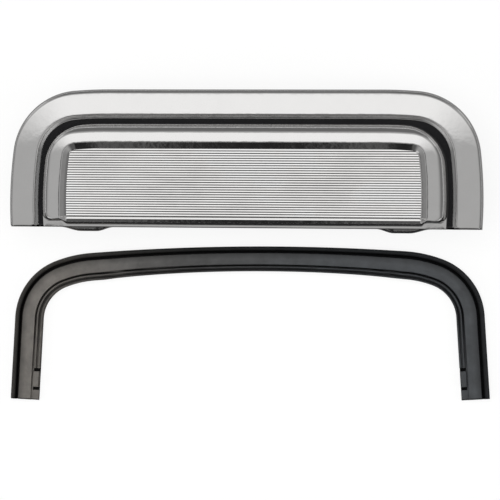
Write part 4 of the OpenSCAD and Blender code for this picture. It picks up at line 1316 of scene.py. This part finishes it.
        # p and q are a direction's slopes to the right and up, from the camera's heading as a flat plate
        # mirrors it.
        look = add(tree, "ShaderNodeTexCoord").outputs["Generated"]
        lean = add(tree, "ShaderNodeVectorRotate", {"Vector": look, "Angle": azimuth}, rotation_type="Y_AXIS")
        x, y, z = add(tree, "ShaderNodeSeparateXYZ", {0: lean.outputs[0]}).outputs
        ahead = add(tree, "ShaderNodeMath", {0: z, 1: least_ahead}, operation="MAXIMUM").outputs[0]
        p = add(tree, "ShaderNodeMath", {0: x, 1: ahead}, operation="DIVIDE").outputs[0]
        q = add(tree, "ShaderNodeMath", {0: y, 1: ahead}, operation="DIVIDE").outputs[0]
        across = add(tree, "ShaderNodeMath", {0: p}, operation="ABSOLUTE").outputs[0]
        toward = add(tree, "ShaderNodeMath", {0: q, 1: across}, operation="ARCTAN2").outputs[0]
        aside = add(tree, "ShaderNodeMath", {0: toward}, operation="ABSOLUTE").outputs[0]
        over = add(tree, "ShaderNodeMath", {0: q, 1: dark_rise}, operation="SUBTRACT").outputs[0]
        span = add(tree, "ShaderNodeCombineXYZ", {"X": p, "Y": over}).outputs[0]
        span = add(tree, "ShaderNodeVectorMath", {0: span, 1: (1 / dark_wide, 1 / dark_tall, 0)},
                   operation="MULTIPLY").outputs[0]
        from_axis = add(tree, "ShaderNodeVectorMath", {0: span}, operation="LENGTH").outputs["Value"]
        sideways, _, skyward = add(tree, "ShaderNodeSeparateXYZ", {0: look}).outputs
        off_axis = add(tree, "ShaderNodeMath", {0: sideways, 1: math.sin(azimuth)}, operation="ADD")
        endward = add(tree, "ShaderNodeMath", {0: off_axis.outputs[0]}, operation="ABSOLUTE").outputs[0]
        # Each ramp: name, measure, where it starts and ends, and its values there.
        ramps = {"camera": add(tree, "ShaderNodeLightPath").outputs["Is Camera Ray"]}
        for name, value, low, high, start, end in (
                ("wall", across, 0.5, 3.0, 0.405, 0.165), ("axis", from_axis, 0.9, 1.35, 1, 0),
                ("skyline", skyward, 0.036, 0.046, 1, 0),
                ("back", q, 0.45, 1.3, 0, 1), ("back_side", toward, 0.75, 1.25, 0, 1),
                ("foot", q, -0.4, -0.18, 1, 0), ("foot_side", toward, -1.25, -0.8, 1, 0),
                ("foot_end", endward, 0.02, 0.05, 1, 0.8),
                ("card_low", q, 0.13, 0.18, 0, 1), ("card_high", q, 0.42, 0.53, 1, 0),
                ("card_side", toward, 0.09, 1.19, 0, 1),
                ("strip_from", aside, 0.5, 0.62, 0, 1), ("strip_to", aside, 0.86, 0.98, 1, 0),
                ("strip_foot", skyward, 0.06, 0.12, 0, 1), ("strip_head", skyward, 0.26, 0.34, 1, 0)):
            ramps[name] = add(tree, "ShaderNodeMapRange", {
                "Value": value, "From Min": low, "From Max": high, "To Min": start, "To Max": end},
                interpolation_type="SMOOTHSTEP").outputs[0]
        # Each zone: the ramps that bound it and its tone, laid over the walls in turn.
        level = ramps["wall"]
        for zone, tone in ((("back", "back_side"), 0.14), (("skyline",), 0.9),
                           (("foot", "foot_side", "foot_end"), 0.015), (("axis",), 0.03),
                           (("card_low", "card_high", "card_side"), 0.92),
                           (("strip_from", "strip_to", "strip_foot", "strip_head"), 0.66),
                           (("skyline", "camera"), 0.9)):
            share = ramps[zone[0]]
            for part in zone[1:]:
                share = add(tree, "ShaderNodeMath", {0: share, 1: ramps[part]},
                            operation="MULTIPLY").outputs[0]
            level = add(tree, "ShaderNodeMix", {0: share, 2: level, 3: tone}, data_type="FLOAT").outputs[0]
        back = add(tree, "ShaderNodeBackground", {"Color": (1, 1, 1, 1), "Strength": level})
        add(tree, "ShaderNodeOutputWorld", {"Surface": back.outputs[0]})


# Panel and run

PIECES = (OuterBezel, InnerBezel, FlutedLens, BodySeal, Fittings, CarriedFinishes, Stage)
GROUPS = (("lamp_sizes", LampSizes), ("lens_sizes", LensSizes), ("fitting_sizes", FittingSizes),
          ("seal_sizes", SealSizes), ("stage_sizes", StageSizes), ("finishes", Finishes))


class BrakeLightPanel(bpy.types.Panel):
    """Steps and sizes of the third brake light"""
    bl_idname = "VIEW3D_PT_brake_light"
    bl_label = "Third Brake Light"
    bl_space_type = "VIEW_3D"
    bl_region_type = "UI"
    bl_category = "Brake Light"

    def draw(self, context):
        for step in PIECES:
            self.layout.operator(step.bl_idname)
        for name, group in GROUPS:
            box = self.layout.box()
            box.label(text=name.replace("_", " "))
            for key in group.__annotations__:
                box.prop(getattr(context.scene, name), key)


def register():
    for _, group in GROUPS:
        bpy.utils.register_class(group)
    for name, group in GROUPS:
        setattr(bpy.types.Scene, name, bpy.props.PointerProperty(type=group))
    for step in PIECES:
        bpy.utils.register_class(step)
    bpy.utils.register_class(BrakeLightPanel)


def unregister():
    bpy.utils.unregister_class(BrakeLightPanel)
    for step in reversed(PIECES):
        bpy.utils.unregister_class(step)
    for name, group in reversed(GROUPS):
        delattr(bpy.types.Scene, name)
        bpy.utils.unregister_class(group)


def main():
    register()
    bpy.ops.brake_light.finishes()
    bpy.ops.brake_light.outer_bezel()
    bpy.ops.brake_light.inner_bezel()
    bpy.ops.brake_light.fluted_lens()
    bpy.ops.brake_light.body_seal()
    bpy.ops.brake_light.fittings()
    bpy.ops.brake_light.stage()


if __name__ == "__main__":
    main()
